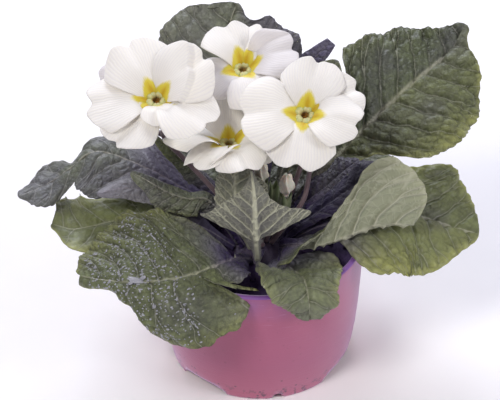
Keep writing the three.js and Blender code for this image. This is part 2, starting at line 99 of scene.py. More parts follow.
def grid_faces(rows, columns, first=0, wrap=False, flip=False):
    """Quads over a grid of points, numbered row by row; wrap joins the last column to the first."""
    i = np.arange(rows - 1)[:, None]
    j = np.arange(columns if wrap else columns - 1)[None, :]
    k = (j + 1) % columns
    corners = [i * columns + j, i * columns + k, (i + 1) * columns + k, (i + 1) * columns + j]
    faces = np.stack([c + first for c in corners], axis=-1).reshape(-1, 4)
    return faces[:, ::-1] if flip else faces


def turned(profile, segments):
    """Points and quads of a profile of [radius, height] turned round Z, the material on its left."""
    profile = np.array(profile, float)
    around = np.linspace(0, 2 * np.pi, segments, endpoint=False)
    x = profile[:, 0, None] * np.cos(around)
    y = profile[:, 0, None] * np.sin(around)
    z = np.repeat(profile[:, 1, None], segments, axis=1)
    return np.stack([x, y, z], axis=-1), grid_faces(len(profile), segments, wrap=True)


def shell(points, faces, slots=0, place=None, marks=None, veins=None, habit=(1, 0, 0)):
    """One closed skin: its points, its faces and their material slots, and what the materials read
    at each point: its place on the piece, four marks, its place among the side veins, and how
    wrinkled, how pale and how dark the piece is among its like."""
    points = np.reshape(points, (-1, 3))
    count = len(points)
    return {
        "points": points,
        "faces": np.asarray(faces),
        "slots": np.broadcast_to(slots, len(faces)),
        "place": points if place is None else np.reshape(place, (-1, 3)),
        "marks": np.zeros((count, 4)) if marks is None else np.reshape(marks, (-1, 4)),
        "veins": np.zeros((count, 3)) if veins is None else np.reshape(veins, (-1, 3)),
        "habit": np.broadcast_to(np.asarray(habit, float), (count, 3)),
    }


def make_object(name, shells, materials):
    """Joins shells into one smooth object."""
    first = 0
    faces = []
    for part in shells:
        faces += (part["faces"] + first).tolist()
        first += len(part["points"])
    joined = {key: np.concatenate([part[key] for part in shells]) for key in shells[0] if key != "faces"}
    mesh = bpy.data.meshes.new(name)
    mesh.from_pydata((joined["points"] * MM).tolist(), [], faces)
    mesh.polygons.foreach_set("material_index", joined["slots"].astype(int))
    for key in ("place", "veins", "habit"):
        layer = mesh.attributes.new(key, "FLOAT_VECTOR", "POINT")
        layer.data.foreach_set("vector", joined[key].ravel())
    layer = mesh.attributes.new("marks", "FLOAT_COLOR", "POINT")
    layer.data.foreach_set("color", joined["marks"].ravel())
    body = bmesh.new()
    body.from_mesh(mesh)
    bmesh.ops.remove_doubles(body, verts=body.verts, dist=1e-6)
    body.to_mesh(mesh)
    body.free()
    mesh.polygons.foreach_set("use_smooth", np.ones(len(mesh.polygons), bool))
    made = bpy.data.objects.new(name, mesh)
    bpy.context.scene.collection.objects.link(made)
    for material in materials:
        mesh.materials.append(material)
    return made


def make_piece(name, shells, materials, replaced=None):
    """Makes an object that rides on the plant and, where it is named, replaces a CAD node."""
    made = make_object(name, shells, materials)
    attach(made, "root")
    if replaced:
        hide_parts(replaced)
    return made


# Polypropylene, injection moulded: a smooth, slightly waxy skin with a broad soft shine that looks
# lilac where the wall turns away. Handling leaves pale scratches and specks of peat.
def pot_plastic(name, colour, darker):
    made, tree, shader, where = new_material(name, roughness=0.38, ior=1.49)
    cloud = add(tree, "TexNoise", where, scale=0.035, detail=3, roughness=0.6)
    mixed = add(tree, "Mix", cloud, colour, darker, data_type="RGBA")
    low = add(tree, "SeparateXYZ", where).outputs["Z"]
    foot = add(tree, "MapRange", low, from_min=20, from_max=0, to_max=0.5)
    redder = add(tree, "Mix", foot, mixed, "#C0566C", data_type="RGBA")
    # Below the lip a patchy violet band is painted: painted shade of the leaves above, over old scuffs.
    below_lip_shade = add(tree, "MapRange", low, from_min=47, from_max=59, to_max=0.85)
    patchy = add(tree, "MapRange", cloud, from_min=0.4, from_max=0.6, to_min=0.2, to_max=0.8)
    shade_and_scuffs = add(tree, "Math", below_lip_shade, patchy, operation="MULTIPLY")
    shaded_below_lip = add(tree, "Mix", shade_and_scuffs, redder, "#84528C", data_type="RGBA")
    # Scratches about 0.2 mm wide and 6 mm long, drawn at twice their width so that they show. They
    # are thickest below the lip, where pots rub against each other.
    stretch = add(tree, "VectorMath", where, (0.07, 0.07, 1.3), operation="MULTIPLY")
    score = add(tree, "TexNoise", stretch, scale=1, detail=5, roughness=0.75)
    line = add(tree, "MapRange", score, from_min=0.6, from_max=0.68, to_max=0.5)
    rubbed = add(tree, "MapRange", low, from_min=30, from_max=58, to_min=0.12, to_max=0.8)
    wear = add(tree, "Math", line, rubbed, operation="MULTIPLY")
    worn = add(tree, "Mix", wear, shaded_below_lip, "#D3A5C0", data_type="RGBA")
    # Specks of peat up to 1 mm across, thick at the foot and thin above.
    dots = add(tree, "TexVoronoi", where, scale=0.21, randomness=1)
    speck = add(tree, "MapRange", dots, from_min=0.14, from_max=0.09)
    lower = add(tree, "MapRange", low, from_min=24, from_max=2, to_min=0.1, to_max=0.9)
    dirt = add(tree, "Math", speck, lower, operation="MULTIPLY")
    # A thin smear of wet peat that follows the foot's edge.
    smear = add(tree, "TexNoise", where, scale=0.3, detail=5, roughness=0.7)
    edge = add(tree, "MapRange", low, from_min=8, from_max=1)
    smeared = add(tree, "MapRange", smear, from_min=0.55, from_max=0.59)
    grime = add(tree, "Math", edge, smeared, operation="MULTIPLY")
    soiled = add(tree, "Math", dirt, grime, operation="MAXIMUM")
    final = add(tree, "Mix", soiled, worn, "#3A2430", data_type="RGBA")
    rough = add(tree, "MapRange", score, from_min=0.3, from_max=0.7, to_min=0.3, to_max=0.5)
    bump = add(tree, "Bump", height=score, strength=0.12, distance=0.0004)
    feed(
        shader, base_color=final, roughness=rough, normal=bump, sheen_weight=1.0,
        sheen_roughness=0.45, sheen_tint="#E3D3F4",
    )
    return made


pot_outside = pot_plastic("pot_polypropylene", "#AE5772", "#A65272")
# Inside, the same plastic lies in the plant's shade, and there it looks deep violet.
pot_inside = pot_plastic("pot_polypropylene_shaded", "#8458A8", "#6E4494")

pot_outer = [
    (0, 0), (14.6, 0), (15.3, 0.3), (18.4, 3.2), (19.2, 3.6), (36, 3.6), (36.9, 2.9), (37.2, 0.3),
    (37.5, 0), (38.7, 0), (39.2, 0.25), (39.4, 0.8), (39.8, 3), (40.4, 6), (41.2, 9.4), (42.4, 18),
    (43.3, 28), (43.9, 39), (44.4, 49.5), (44.8, 57), (45, 60.2),
]
pot_lip = [(45, 61.2), (44.75, 61.8), (44.2, 62), (43.4, 62), (42.7, 61.8), (42.5, 61.2), (42.6, 60.4)]
pot_inner = [
    (43.5, 59.6), (43.3, 57), (43.3, 49.5), (42.8, 39), (42.2, 28), (41.3, 18), (40.1, 9.4),
    (39, 5.6), (38.2, 4.7),
]
pot_floor = [(18.6, 4.7), (17.8, 4.3), (14.9, 1.3), (14.2, 1.1), (0, 1.1)]
pot_profile = pot_outer + pot_lip + pot_inner + pot_floor
pot_points, pot_faces = turned(pot_profile, segments=POT_SEGMENTS)
azimuth = np.degrees(np.arctan2(pot_points[..., 1], pot_points[..., 0]))
lifted = np.zeros(azimuth.shape)
arches = (ARCH_AZIMUTHS, ARCH_SPAN, ARCH_HEIGHT)
notches = (NOTCH_AZIMUTHS, NOTCH_SPAN, NOTCH_HEIGHT)
for spots, span, height in (arches, notches):
    for spot in spots:
        away = np.abs((azimuth - spot + 180) % 360 - 180) / (span / 2)
        lifted = np.maximum(lifted, height * np.sqrt(np.clip(1 - away**2, 0, 1)) ** 0.8)
# Only the foot ring under the outer wall is lifted into arches.
foot_ring = (pot_points[..., 2] < 5) & (np.hypot(pot_points[..., 0], pot_points[..., 1]) > 37)
foot_ring &= np.arange(len(pot_profile))[:, None] < len(pot_outer)
pot_points[..., 2] = np.where(foot_ring, np.maximum(pot_points[..., 2], lifted), pot_points[..., 2])
pot_rows = np.repeat(np.arange(len(pot_profile) - 1), POT_SEGMENTS)
pot_slots = (pot_rows >= len(pot_outer)) & (pot_rows < len(pot_outer + pot_lip + pot_inner))
pot_skin = shell(pot_points, pot_faces, pot_slots)
pot = make_piece("pot_moulding", [pot_skin], [pot_outside, pot_inside], "pot")
# The drain holes are cut with drills that are then removed.
drills = []
for k in range(DRAIN_HOLES):
    points, faces = turned([(0, -2), (DRAIN_RADIUS, -2), (DRAIN_RADIUS, 8), (0, 8)], segments=24)
    turn = 2 * math.pi * (k + 0.5) / DRAIN_HOLES
    points = points + [DRAIN_RING * math.cos(turn), DRAIN_RING * math.sin(turn), 0]
    drills.append(shell(points, faces))
drill = make_piece("drain_drill", drills, [pot_outside])
cut = pot.modifiers.new("drain_holes", "BOOLEAN")
cut.object = drill
cut.operation = "DIFFERENCE"
cut.solver = "EXACT"
bpy.context.view_layer.update()
bored = bpy.data.meshes.new_from_object(pot.evaluated_get(bpy.context.evaluated_depsgraph_get()))
pot.modifiers.clear()
pot.data = bored
bpy.data.objects.remove(drill)

# The soil: moist dark peat that fills the pot to about 8 mm below the lip. Its top is crumbly,
# with loose lumps, and it is nearly black in the plant's shade.
SOIL_TOP = 53.5
SOIL_RADIUS = 42.5
LOOSE_LUMPS = 170


def hashed(i, j, seed):
    """A repeatable random number from 0 to 1 for each pair of whole numbers."""
    mixed = np.sin(i * 127.1 + j * 311.7 + seed * 74.7) * 43758.5453
    return mixed - np.floor(mixed)


def rolling(x, y, seed):
    """Smooth hills from -1 to 1, about one unit apart."""
    i, j = np.floor(x), np.floor(y)
    u, v = x - i, y - j
    u, v = u * u * (3 - 2 * u), v * v * (3 - 2 * v)
    near = hashed(i, j, seed) * (1 - u) + hashed(i + 1, j, seed) * u
    far = hashed(i, j + 1, seed) * (1 - u) + hashed(i + 1, j + 1, seed) * u
    return 2 * (near * (1 - v) + far * v) - 1


# Moist peat is matt, with crumbs about 2 mm across, a dark violet painted in as painted shade, and
# paler specks of fibre that are drawn 0.4 mm across.
peat, tree, shader, where = new_material("peat_moist", roughness=0.85)
crumb = add(tree, "TexNoise", where, scale=0.45, detail=6, roughness=0.7)
dark = add(tree, "Mix", crumb, "#34244E", "#4C3A62", data_type="RGBA")
fleck = add(tree, "TexVoronoi", where, scale=0.7)
pale = add(tree, "MapRange", fleck, from_min=0.16, from_max=0.1, to_max=0.35)
final = add(tree, "Mix", pale, dark, "#4E4258", data_type="RGBA")
bump = add(tree, "Bump", height=crumb, strength=0.8, distance=0.001)
feed(shader, base_color=final, normal=bump)

soil_profile = [(0, 1.4), (14.3, 1.4), (18.4, 5), (37.4, 5), (39.8, 9.6), (41.9, 28)]
soil_profile += [(SOIL_RADIUS, 50.2)]
soil_profile += [(SOIL_RADIUS * (1 - k / 60), SOIL_TOP - 0.9 * (k < 2)) for k in range(1, 61)]
points, faces = turned(soil_profile, segments=140)
x, y = points[..., 0], points[..., 1]
top = np.clip((points[..., 2] - 50.3) / 2, 0, 1) * np.clip((np.hypot(x, y) - 13) / 3, 0, 1)
lumps = 0.5 * rolling(x / 7, y / 7, 3) + 0.35 * np.abs(rolling(x / 2.6, y / 2.6, 4))
points[..., 2] += top * (lumps + 0.2 * rolling(x / 1.1, y / 1.1, 5))
soil_shells = [shell(points, faces)]
rng = np.random.default_rng(7)
for k in range(LOOSE_LUMPS):
    reach = 15 + 26 * math.sqrt(rng.random())
    turn = rng.random() * 2 * math.pi
    size = 0.5 + 0.9 * rng.random() ** 2
    lump, lump_faces = turned([(0, -0.8), (0.8, -0.5), (1, 0.1), (0.6, 0.7), (0, 0.85)], segments=7)
    lump = lump * (size * (0.7 + 0.6 * rng.random(3)))
    lump[..., 0] += reach * math.cos(turn)
    lump[..., 1] += reach * math.sin(turn)
    lump[..., 2] += SOIL_TOP + 0.35 * size
    soil_shells.append(shell(lump, lump_faces))
make_piece("soil_peat", soil_shells, [peat], "soil")

# The crown: the short stem at the soil that every stalk grows from. It is covered by the sheaths
# of old leaf bases, wrapped over each other and painted dark violet, as painted shade.
CROWN_CENTRE = (1, -1)

# Old leaf sheaths are dull and streaked along their fibres, about 1 mm from streak to streak.
sheath, tree, shader, where = new_material("crown_sheaths", roughness=0.6)
streak = add(tree, "VectorMath", where, (0.9, 0.9, 0.12), operation="MULTIPLY")
grain = add(tree, "TexNoise", streak, scale=1, detail=4)
# The sheaths' dark violet is painted shade.
green = add(tree, "Mix", grain, "#2E2048", "#564C58", data_type="RGBA")
bump = add(tree, "Bump", height=grain, strength=0.5, distance=0.0006)
feed(shader, base_color=green, normal=bump)

crown_profile = [(0, 53.8), (12, 53.8), (12.8, 54.1), (12.6, 54.8), (11.4, 55.2), (10, 55.6)]
crown_profile += [(8.6, 56.2), (7, 56.7), (5.5, 57), (4, 57.2), (2, 57.3), (0, 57.3)]
points, faces = turned(crown_profile, segments=120)
turn = np.arctan2(points[..., 1], points[..., 0])
reach = np.hypot(points[..., 0], points[..., 1])
scale = 0.35 * np.abs(np.sin(4.5 * turn + reach * 0.35)) * (reach > 1) * (points[..., 2] > 54)
points[..., 2] = np.minimum(points[..., 2] + scale - 0.1, 57.4)
points += [*CROWN_CENTRE, 0]
make_piece("crown_stem", [shell(points, faces)], [sheath], "crown")

# The leaves: soft wrinkled blades, half a millimetre thick, on winged stalks. The midrib and side
# veins are sunk into the upper face and stand out of the pale underside, and the blade swells into
# pillows between them. Each leaf grows from the crown along its own midrib.


def paired(values):
    """One row for each value; a single number counts for the left and the right."""
    return np.array([value if np.ndim(value) else (value, value) for value in values], float)


def through(values, t):
    """A uniform Catmull-Rom curve through a list of values, read at fractions from 0 to 1."""
    values = paired(values)
    if len(values) == 1:
        values = np.repeat(values, 2, axis=0)
    ends = [2 * values[0] - values[1], 2 * values[-1] - values[-2]]
    padded = np.concatenate([[ends[0]], values, [ends[1]]])
    at = np.clip(np.asarray(t) * (len(values) - 1), 0, len(values) - 1 - 1e-9)
    i = at.astype(int)
    w = (at - i)[:, None]
    p0, p1, p2, p3 = (padded[i + k] for k in range(4))
    v0, v1 = (p2 - p0) / 2, (p3 - p1) / 2
    cubic = (2 * p1 - 2 * p2 + v0 + v1) * w**3 + (3 * p2 - 3 * p1 - 2 * v0 - v1) * w**2
    return cubic + v0 * w + p1


SPINE_STEPS = 801


def along(spine, t):
    """Points and headings at even distances along a spine, and the spine's length."""
    fine_t = np.linspace(0, 1, SPINE_STEPS)
    fine = through(spine, fine_t)
    steps = np.linalg.norm(np.diff(fine, axis=0), axis=1)
    run = np.concatenate([[0], np.cumsum(steps)])
    at = np.interp(np.asarray(t) * run[-1], run, fine_t)
    ahead = through(spine, np.minimum(at + 1e-4, 1)) - through(spine, np.maximum(at - 1e-4, 0))
    return through(spine, at), ahead / np.linalg.norm(ahead, axis=1, keepdims=True), run[-1]


def smooth(x, low, high):
    """0 below low, 1 above high, and a soft step between."""
    w = np.clip((x - low) / (high - low), 0, 1)
    return w * w * (3 - 2 * w)


def cell_edges(x, y, seed):
    """How far each point is from the border of its cell in a jittered net, in cells."""
    i, j = np.floor(x), np.floor(y)
    near = np.full(x.shape, 9.0)
    second = near.copy()
    for di in (-1, 0, 1):
        for dj in (-1, 0, 1):
            px = i + di + 0.5 + 0.75 * (hashed(i + di, j + dj, seed) - 0.5)
            py = j + dj + 0.5 + 0.75 * (hashed(i + di, j + dj, seed + 0.5) - 0.5)
            away = np.hypot(px - x, py - y)
            second = np.minimum(second, np.maximum(near, away))
            near = np.minimum(near, away)
    return second - near


def closed_sheet(upper, lower, place, marks, veins=None, habit=(1, 0, 0)):
    """A thin sheet between two grids of points, closed round its edge, its underside in slot 1."""
    rows, columns = upper.shape[:2]
    count = rows * columns
    index = np.arange(count).reshape(rows, columns)
    edge = np.concatenate([index[0, :-1], index[:-1, -1], index[-1, :0:-1], index[:0:-1, 0]])
    after = np.roll(edge, -1)
    rim = np.stack([edge, edge + count, after + count, after], axis=1)
    faces = np.concatenate([grid_faces(rows, columns), grid_faces(rows, columns, count, flip=True), rim])
    slots = np.repeat([0, 1, 0], [(rows - 1) * (columns - 1)] * 2 + [len(rim)])
    points = np.concatenate([upper.reshape(-1, 3), lower.reshape(-1, 3)])
    veins = 0 * place if veins is None else veins
    both = [np.concatenate([m.reshape(count, -1)] * 2) for m in (place, marks, veins)]
    return shell(points, faces, slots, *both, habit)


PLAIN_LEAF = {
    "trail": [0], "lift": [8], "curl": [-16], "roll": [0], "sweep": 0.15,
    "veins": 9.5, "slant": 0.5, "pillow": 0.8, "ruffle": (1.3, 17), "teeth": 0.6, "slit": (0, 0, 1, 0),
    "rib": 1, "rib_end": (0.97, 1), "habit": (1, 0), "gloom": 0, "yellow": 0.25,
    "violet": (0.35, 0.05, 0.75), "violet_from": 0.1, "violet_right": 0,
}
TOOTH_MM = 3.7


def leaf_skin(leaf, seed):
    """A leaf as one closed skin: the shape of its blade and stalk, with veins and pillows."""
    leaf = PLAIN_LEAF | leaf
    rows, columns = leaf["grid"]
    t = np.linspace(0, 1, rows)
    side = np.linspace(-1, 1, columns)[None, :]
    side = np.sign(side) * np.abs(side) ** 1.15
    q = np.abs(side)
    is_right = side > 0

    def by_side(values):
        """The left or right column of a list of pairs, spread over the blade."""
        return np.where(is_right, values[:, 1:], values[:, :1])

    centre, ahead, length = along(leaf["spine"], t)
    run = np.subtract(leaf["spine"][-1], leaf["spine"][0])
    heading = math.radians(leaf["heading"]) if "heading" in leaf else math.atan2(run[1], run[0])
    level = np.array([math.sin(heading), -math.cos(heading), 0])
    across = level - ahead * (ahead @ level)[:, None]
    across /= np.linalg.norm(across, axis=1, keepdims=True)
    roll = np.radians(through(leaf["roll"], t)[:, :1])
    up = np.cross(across, ahead)
    across, up = across * np.cos(roll) - up * np.sin(roll), up * np.cos(roll) + across * np.sin(roll)

    # Half widths, left then right, with rounded teeth every few millimetres. They are read as
    # squares, so that a tip comes out round.
    halves = np.sqrt(np.clip(through(paired(leaf["widths"]) ** 2, t), 0.1, None))
    along_mm = t[:, None] * length
    is_blade = smooth(halves, 3, 8)
    teeth = np.abs(np.sin(np.pi * along_mm / TOOTH_MM + seed + np.array([[0, 1.1]]))) - 0.6
    crinkle = rolling(along_mm / 8, np.array([[3.5, 8.5]]), seed)
    edging = is_blade * (leaf["teeth"] * teeth + 0.6 * crinkle)
    half = by_side(halves) + by_side(edging) * q**4
    # A slit is a tear in the margin: at a fraction of the length, on the right or not, how wide and
    # how deep.
    slit_at, slit_right, slit_width, slit_depth = leaf["slit"]
    torn = slit_depth * np.exp(-(((t[:, None] - slit_at) / slit_width) ** 4)) * (is_right == slit_right)
    half = half * (1 - torn)
    blade = by_side(is_blade)

    lift = by_side(through(leaf["lift"], t))
    curl = by_side(through(leaf["curl"], t))
    chord = np.radians(lift + curl * q / 2)
    lean = np.where(q == 0, 0, np.radians(lift + curl * q))
    v = half * q
    sweep = v * np.sin(np.pi * t)[:, None] * by_side(paired([leaf["sweep"]]))
    sweep = sweep - v * q**2 * by_side(through(leaf["trail"], t))
    outward = across[:, None, :] * np.where(is_right, 1, -1)[..., None]
    middle = centre[:, None, :] + outward * (v * np.cos(chord))[..., None]
    middle = middle + up[:, None, :] * (v * np.sin(chord))[..., None] + ahead[:, None, :] * sweep[..., None]
    normal = up[:, None, :] * np.cos(lean)[..., None] - outward * np.sin(lean)[..., None]

    # Side veins leave the midrib by turns, bend to the tip, and fork half way out.
    gap = leaf["veins"]
    u = along_mm + 0 * v
    slant = by_side(paired([leaf["slant"]]))
    count = (u - slant * v - 0.006 * v**2) / gap + np.where(is_right, 0.5, 0.05) + 0.13 * seed
    count = count + 0.1 * rolling(u / 9, v / 7 + 5 * is_right, seed + 3)
    count = count + 0.05 * rolling(u / 3.5, v / 3 + 5 * is_right, seed + 5)
    forks = hashed(np.round(count), np.where(is_right, 1.0, 2.0), seed) > 0.35
    spread = 0.25 * smooth(q, 0.45, 1) * forks
    off = count - np.round(count)
    from_vein = np.minimum(np.abs(off - spread), np.abs(off + spread)) * gap
    net = cell_edges(count * 2 + 40, v / (0.52 * gap) + 7 * is_right, seed)
    crease = np.exp(-((net / 0.15) ** 2))
    fade = blade * (1 - 0.3 * smooth(q, 0.85, 1))
    crinkled = 0.4 + 0.6 * smooth(q, 0.3, 0.75)
    beside = np.exp(-((from_vein / (0.14 * gap)) ** 2))
    pillow = 1.1 * (1 - beside) + 0.9 * crinkled * (1 - np.exp(-((net / 0.3) ** 2)))
    height = leaf["pillow"] * fade * (pillow - 1.2)
    height = height - 0.8 * blade * np.exp(-((v / 1.5) ** 2))
    ruffle, wave = leaf["ruffle"]
    height = height + ruffle * blade * q**2 * np.sin(2 * np.pi * u / wave + seed + 1.7 * is_right)
    height = height + 1.2 * blade * q * rolling(u / 14, v / 12, seed + 7)

    # The rib is thick at the foot of the stalk and thins to the tip; everything thins at the edge.
    rib_depth = (2.3 - 1.9 * t**0.7)[:, None] * leaf["rib"]
    rib_width = (2.0 - 1.3 * t**0.6)[:, None]
    thin = 1 - q**6
    thick = 0.12 + 0.36 * thin
    ridges = rib_depth * np.exp(-((v / rib_width) ** 2)) * (1 - q**4)
    ridges = ridges + blade * thin * (0.7 - 0.4 * q) * np.exp(-((from_vein / 0.8) ** 2))
    ridges = ridges + 0.3 * blade * thin * crease
    upper = middle + normal * (height + thick / 2)[..., None]
    lower = middle + normal * (height - thick / 2 - ridges)[..., None]

    # Marks: red for the midrib, green for hollows, blue for yellowing, alpha for violet pigment and painted
    # shade.
    main = np.exp(-((v / (leaf["rib"] * (0.85 - 0.55 * t[:, None]))) ** 2))
    main = main * (1 - smooth(t, *leaf["rib_end"])[:, None])
    hollow = np.clip(0.5 * np.exp(-((from_vein / (0.13 * gap)) ** 2)) + 0.8 * crinkled * crease, 0, 1)
    yellow = by_side(paired([leaf["yellow"]]))
    patches = 0.5 + 0.5 * rolling(u / 13, v / 11, seed + 11) + 0.25 * rolling(u / 4, v / 4, seed + 13)
    outer = 1.1 * smooth(q, 0.45, 1.05) * patches + 0.9 * smooth(q, 0.84, 1)
    yellowing = np.clip(yellow * (0.35 + outer), 0, 1)
    base, tip, end = leaf["violet"]
    fading = base + (tip - base) * smooth(t, leaf["violet_from"], end)[:, None]
    violet_tint_and_shade = fading + leaf["violet_right"] * is_right * q + 0.22 * rolling(u / 17, v / 15, seed + 17)
    # Deep in the rosette every stalk and blade is painted dark violet, as painted shade.
    deep = 1 - smooth(np.hypot(middle[..., 0] - 1, middle[..., 1] + 1), 13, 29)
    violet_tint_and_shade = np.clip(np.maximum(violet_tint_and_shade, deep * (1 - smooth(middle[..., 2], 62, 92))), 0, 1)
    marks = np.stack([main, hollow * blade, yellowing, violet_tint_and_shade], axis=-1)
    place = np.stack([u + sweep, v * np.where(is_right, 1, -1), np.full_like(v, 10.0 * seed)], axis=-1)

    # The real distance from one side vein to the next, here, in millimetres.
    down, over = np.gradient(middle, axis=(0, 1))
    count_down, count_over = np.gradient(count)
    a, b, c = ((one * two).sum(axis=-1) for one, two in ((down, down), (down, over), (over, over)))
    steep = c * count_down**2 - 2 * b * count_down * count_over + a * count_over**2
    span = np.sqrt(np.maximum(a * c - b * b, 1e-9) / np.maximum(steep, 1e-9))
    fainter = (1 + 0.7 * q) / np.maximum(blade, 0.05)
    veins = np.stack([count, spread, np.clip(span, 1, 2 * gap) * fainter], axis=-1)
    return closed_sheet(upper, lower, place, marks, veins, (*leaf["habit"], leaf["gloom"]))


def vein_lines(tree):
    """How far a point is from its side vein, in millimetres."""
    read = add(tree, "Attribute", attribute_name="veins").outputs["Vector"]
    count, spread, span = add(tree, "SeparateXYZ", read).outputs
    nearest = add(tree, "Math", count, operation="ROUND")
    off = add(tree, "Math", count, nearest, operation="SUBTRACT")
    forks = []
    for sign in ("ADD", "SUBTRACT"):
        fork = add(tree, "Math", off, spread, operation=sign)
        forks.append(add(tree, "Math", fork, operation="ABSOLUTE"))
    away = add(tree, "Math", forks[0], forks[1], operation="MINIMUM")
    return add(tree, "Math", away, span, operation="MULTIPLY")


# The upper skin: a finely hairy cuticle with a waxy shine on the tops of the wrinkles. Its green is
# dull and dark and turns yellow-green at the margins. Towards the crown it is painted violet: painted
# shade, with some violet pigment.
leaf_upper, tree, shader, where = new_material("leaf_cuticle", roughness=0.42, ior=1.42)
marked = add(tree, "Attribute", attribute_name="marks")
violet = marked.outputs["Alpha"]
main, hollow, yellowing = add(tree, "SeparateColor", marked).outputs
away = vein_lines(tree)
# Wrinkles between the smallest veins, about 3 mm across, and the finest net, about 1.3 mm.
wrinkles = add(tree, "TexVoronoi", where, scale=0.31, feature="DISTANCE_TO_EDGE")
swollen = add(tree, "MapRange", wrinkles, from_max=0.33, interpolation_type="SMOOTHSTEP")
mesh_net = add(tree, "TexVoronoi", where, scale=0.75, feature="DISTANCE_TO_EDGE")
net_depth = add(tree, "MapRange", mesh_net, from_max=0.25)
mottle = add(tree, "TexNoise", where, scale=0.16, detail=6, roughness=0.72)
tone = add(tree, "MapRange", mottle, from_min=0.34, from_max=0.66)
green = add(tree, "Mix", tone, "#3F4731", "#747F55", data_type="RGBA")
lime = add(tree, "Mix", yellowing, green, "#AEB267", data_type="RGBA")
dusk_share = add(tree, "MapRange", violet, from_max=0.7)
dusk = add(tree, "Mix", dusk_share, lime, "#625C70", data_type="RGBA")
night_share = add(tree, "MapRange", violet, from_min=0.65, from_max=1)
night = add(tree, "Mix", night_share, dusk, "#2A164C", data_type="RGBA")
# Hollows between the wrinkles and the grooves over the veins are painted darker, as painted shade.
rise = add(tree, "Math", net_depth, 0.35, swollen, operation="MULTIPLY_ADD")
habit = add(tree, "Attribute", attribute_name="habit").outputs["Vector"]
wrinkled, paleness, gloom = add(tree, "SeparateXYZ", habit).outputs
lighter = add(tree, "Mix", paleness, night, "#A3A595", data_type="RGBA")
pit_share = add(tree, "MapRange", rise, from_min=0.9, from_max=0.1, to_max=0.26)
pit = add(tree, "Math", pit_share, wrinkled, gloom, operation="MULTIPLY_ADD")
depth = add(tree, "Math", wrinkled, 0.5, 0.13, operation="MULTIPLY_ADD")
groove = add(
    tree, "MapRange", away, from_min=1.9, from_max=0.35, to_max=depth, interpolation_type="SMOOTHSTEP"
)
sunk = add(tree, "Math", hollow, 0.32, pit, operation="MULTIPLY_ADD")
low = add(tree, "Math", groove, sunk, operation="MAXIMUM")
shaded = add(tree, "Mix", low, lighter, "#30322C", data_type="RGBA")
# A side vein is a pale thread half a millimetre wide on the groove's floor, and the midrib a paler
# cord. Where the leaf is violet, so are they.
violet_less = add(tree, "MapRange", violet, from_min=0.2, from_max=0.8, to_min=0.6, to_max=0.22)
thread = add(tree, "MapRange", away, from_min=0.42, from_max=0.12, to_max=violet_less)
fibre = add(tree, "Mix", dusk_share, "#9A9C84", "#8A8292", data_type="RGBA")
threaded = add(tree, "Mix", thread, shaded, fibre, data_type="RGBA")
cord_share = add(tree, "MapRange", violet, from_min=0.6, from_max=1, to_min=0.9, to_max=0.35)
cord = add(tree, "Math", main, cord_share, operation="MULTIPLY")
stem_tone = add(tree, "Mix", dusk_share, "#AAAB90", "#958C96", data_type="RGBA")
veined = add(tree, "Mix", cord, threaded, stem_tone, data_type="RGBA")
# The hairs leave a grain of about 0.3 mm.
hairs = add(tree, "TexNoise", where, scale=3.2, detail=2)
swells = add(tree, "Math", rise, wrinkled, operation="MULTIPLY")
relief = add(tree, "Math", hairs, 0.25, swells, operation="MULTIPLY_ADD")
bump = add(tree, "Bump", height=relief, strength=0.8, distance=0.0009)
rough = add(tree, "MapRange", mottle, from_min=0.35, from_max=0.65, to_min=0.34, to_max=0.56)
# Where the violet shade is painted darkest, the skin is also made rougher, so it shines less.
rougher_in_shade = add(tree, "Math", night_share, 0.35, rough, operation="MULTIPLY_ADD")
feed(
    shader, base_color=veined, normal=bump, roughness=rougher_in_shade, coat_weight=0.28, coat_roughness=0.32,
    sheen_weight=0.08, sheen_roughness=0.4,
)

# The underside: pale grey-green, matt and downy, with a raised whitish net of veins.
leaf_under, tree, shader, where = new_material("leaf_underside_down", roughness=0.68, ior=1.4)
marked = add(tree, "Attribute", attribute_name="marks")
violet = marked.outputs["Alpha"]
main, hollow, yellowing = add(tree, "SeparateColor", marked).outputs
away = vein_lines(tree)
mottle = add(tree, "TexNoise", where, scale=0.22, detail=5, roughness=0.7)
pale = add(tree, "Mix", mottle, "#80856D", "#A0A48B", data_type="RGBA")
lime = add(tree, "Mix", yellowing, pale, "#B2B490", data_type="RGBA")
# Towards the crown the underside is painted violet as well: painted shade, with some violet pigment.
dusk_amount = add(tree, "Math", violet, 0.7, operation="MULTIPLY")
dusk = add(tree, "Mix", dusk_amount, lime, "#4C4058", data_type="RGBA")
fine = add(tree, "TexVoronoi", where, scale=0.3, feature="DISTANCE_TO_EDGE")
thread = add(tree, "MapRange", fine, from_min=0.09, from_max=0.02, to_max=0.25)
# Side veins stand out as cords 0.8 mm wide, with a darker foot on both sides.
foot = add(tree, "MapRange", away, from_min=1.8, from_max=0.7, to_max=0.25)
footed = add(tree, "Mix", foot, dusk, "#62664F", data_type="RGBA")
ridge = add(tree, "MapRange", away, from_min=0.6, from_max=0.2, to_max=0.85)
smaller = add(tree, "MapRange", hollow, from_min=0.25, from_max=0.75, to_max=0.6)
net = add(tree, "Math", smaller, thread, operation="MAXIMUM")
lines = add(tree, "Math", ridge, net, operation="MAXIMUM")
line = add(tree, "Math", lines, main, operation="MAXIMUM")
veined = add(tree, "Mix", line, footed, "#BDBDA4", data_type="RGBA")
down = add(tree, "TexNoise", where, scale=3.5, detail=2)
relief = add(tree, "Math", down, 0.3, lines, operation="MULTIPLY_ADD")
bump = add(tree, "Bump", height=relief, strength=0.9, distance=0.0006)
feed(shader, base_color=veined, normal=bump, sheen_weight=0.15, sheen_roughness=0.5)
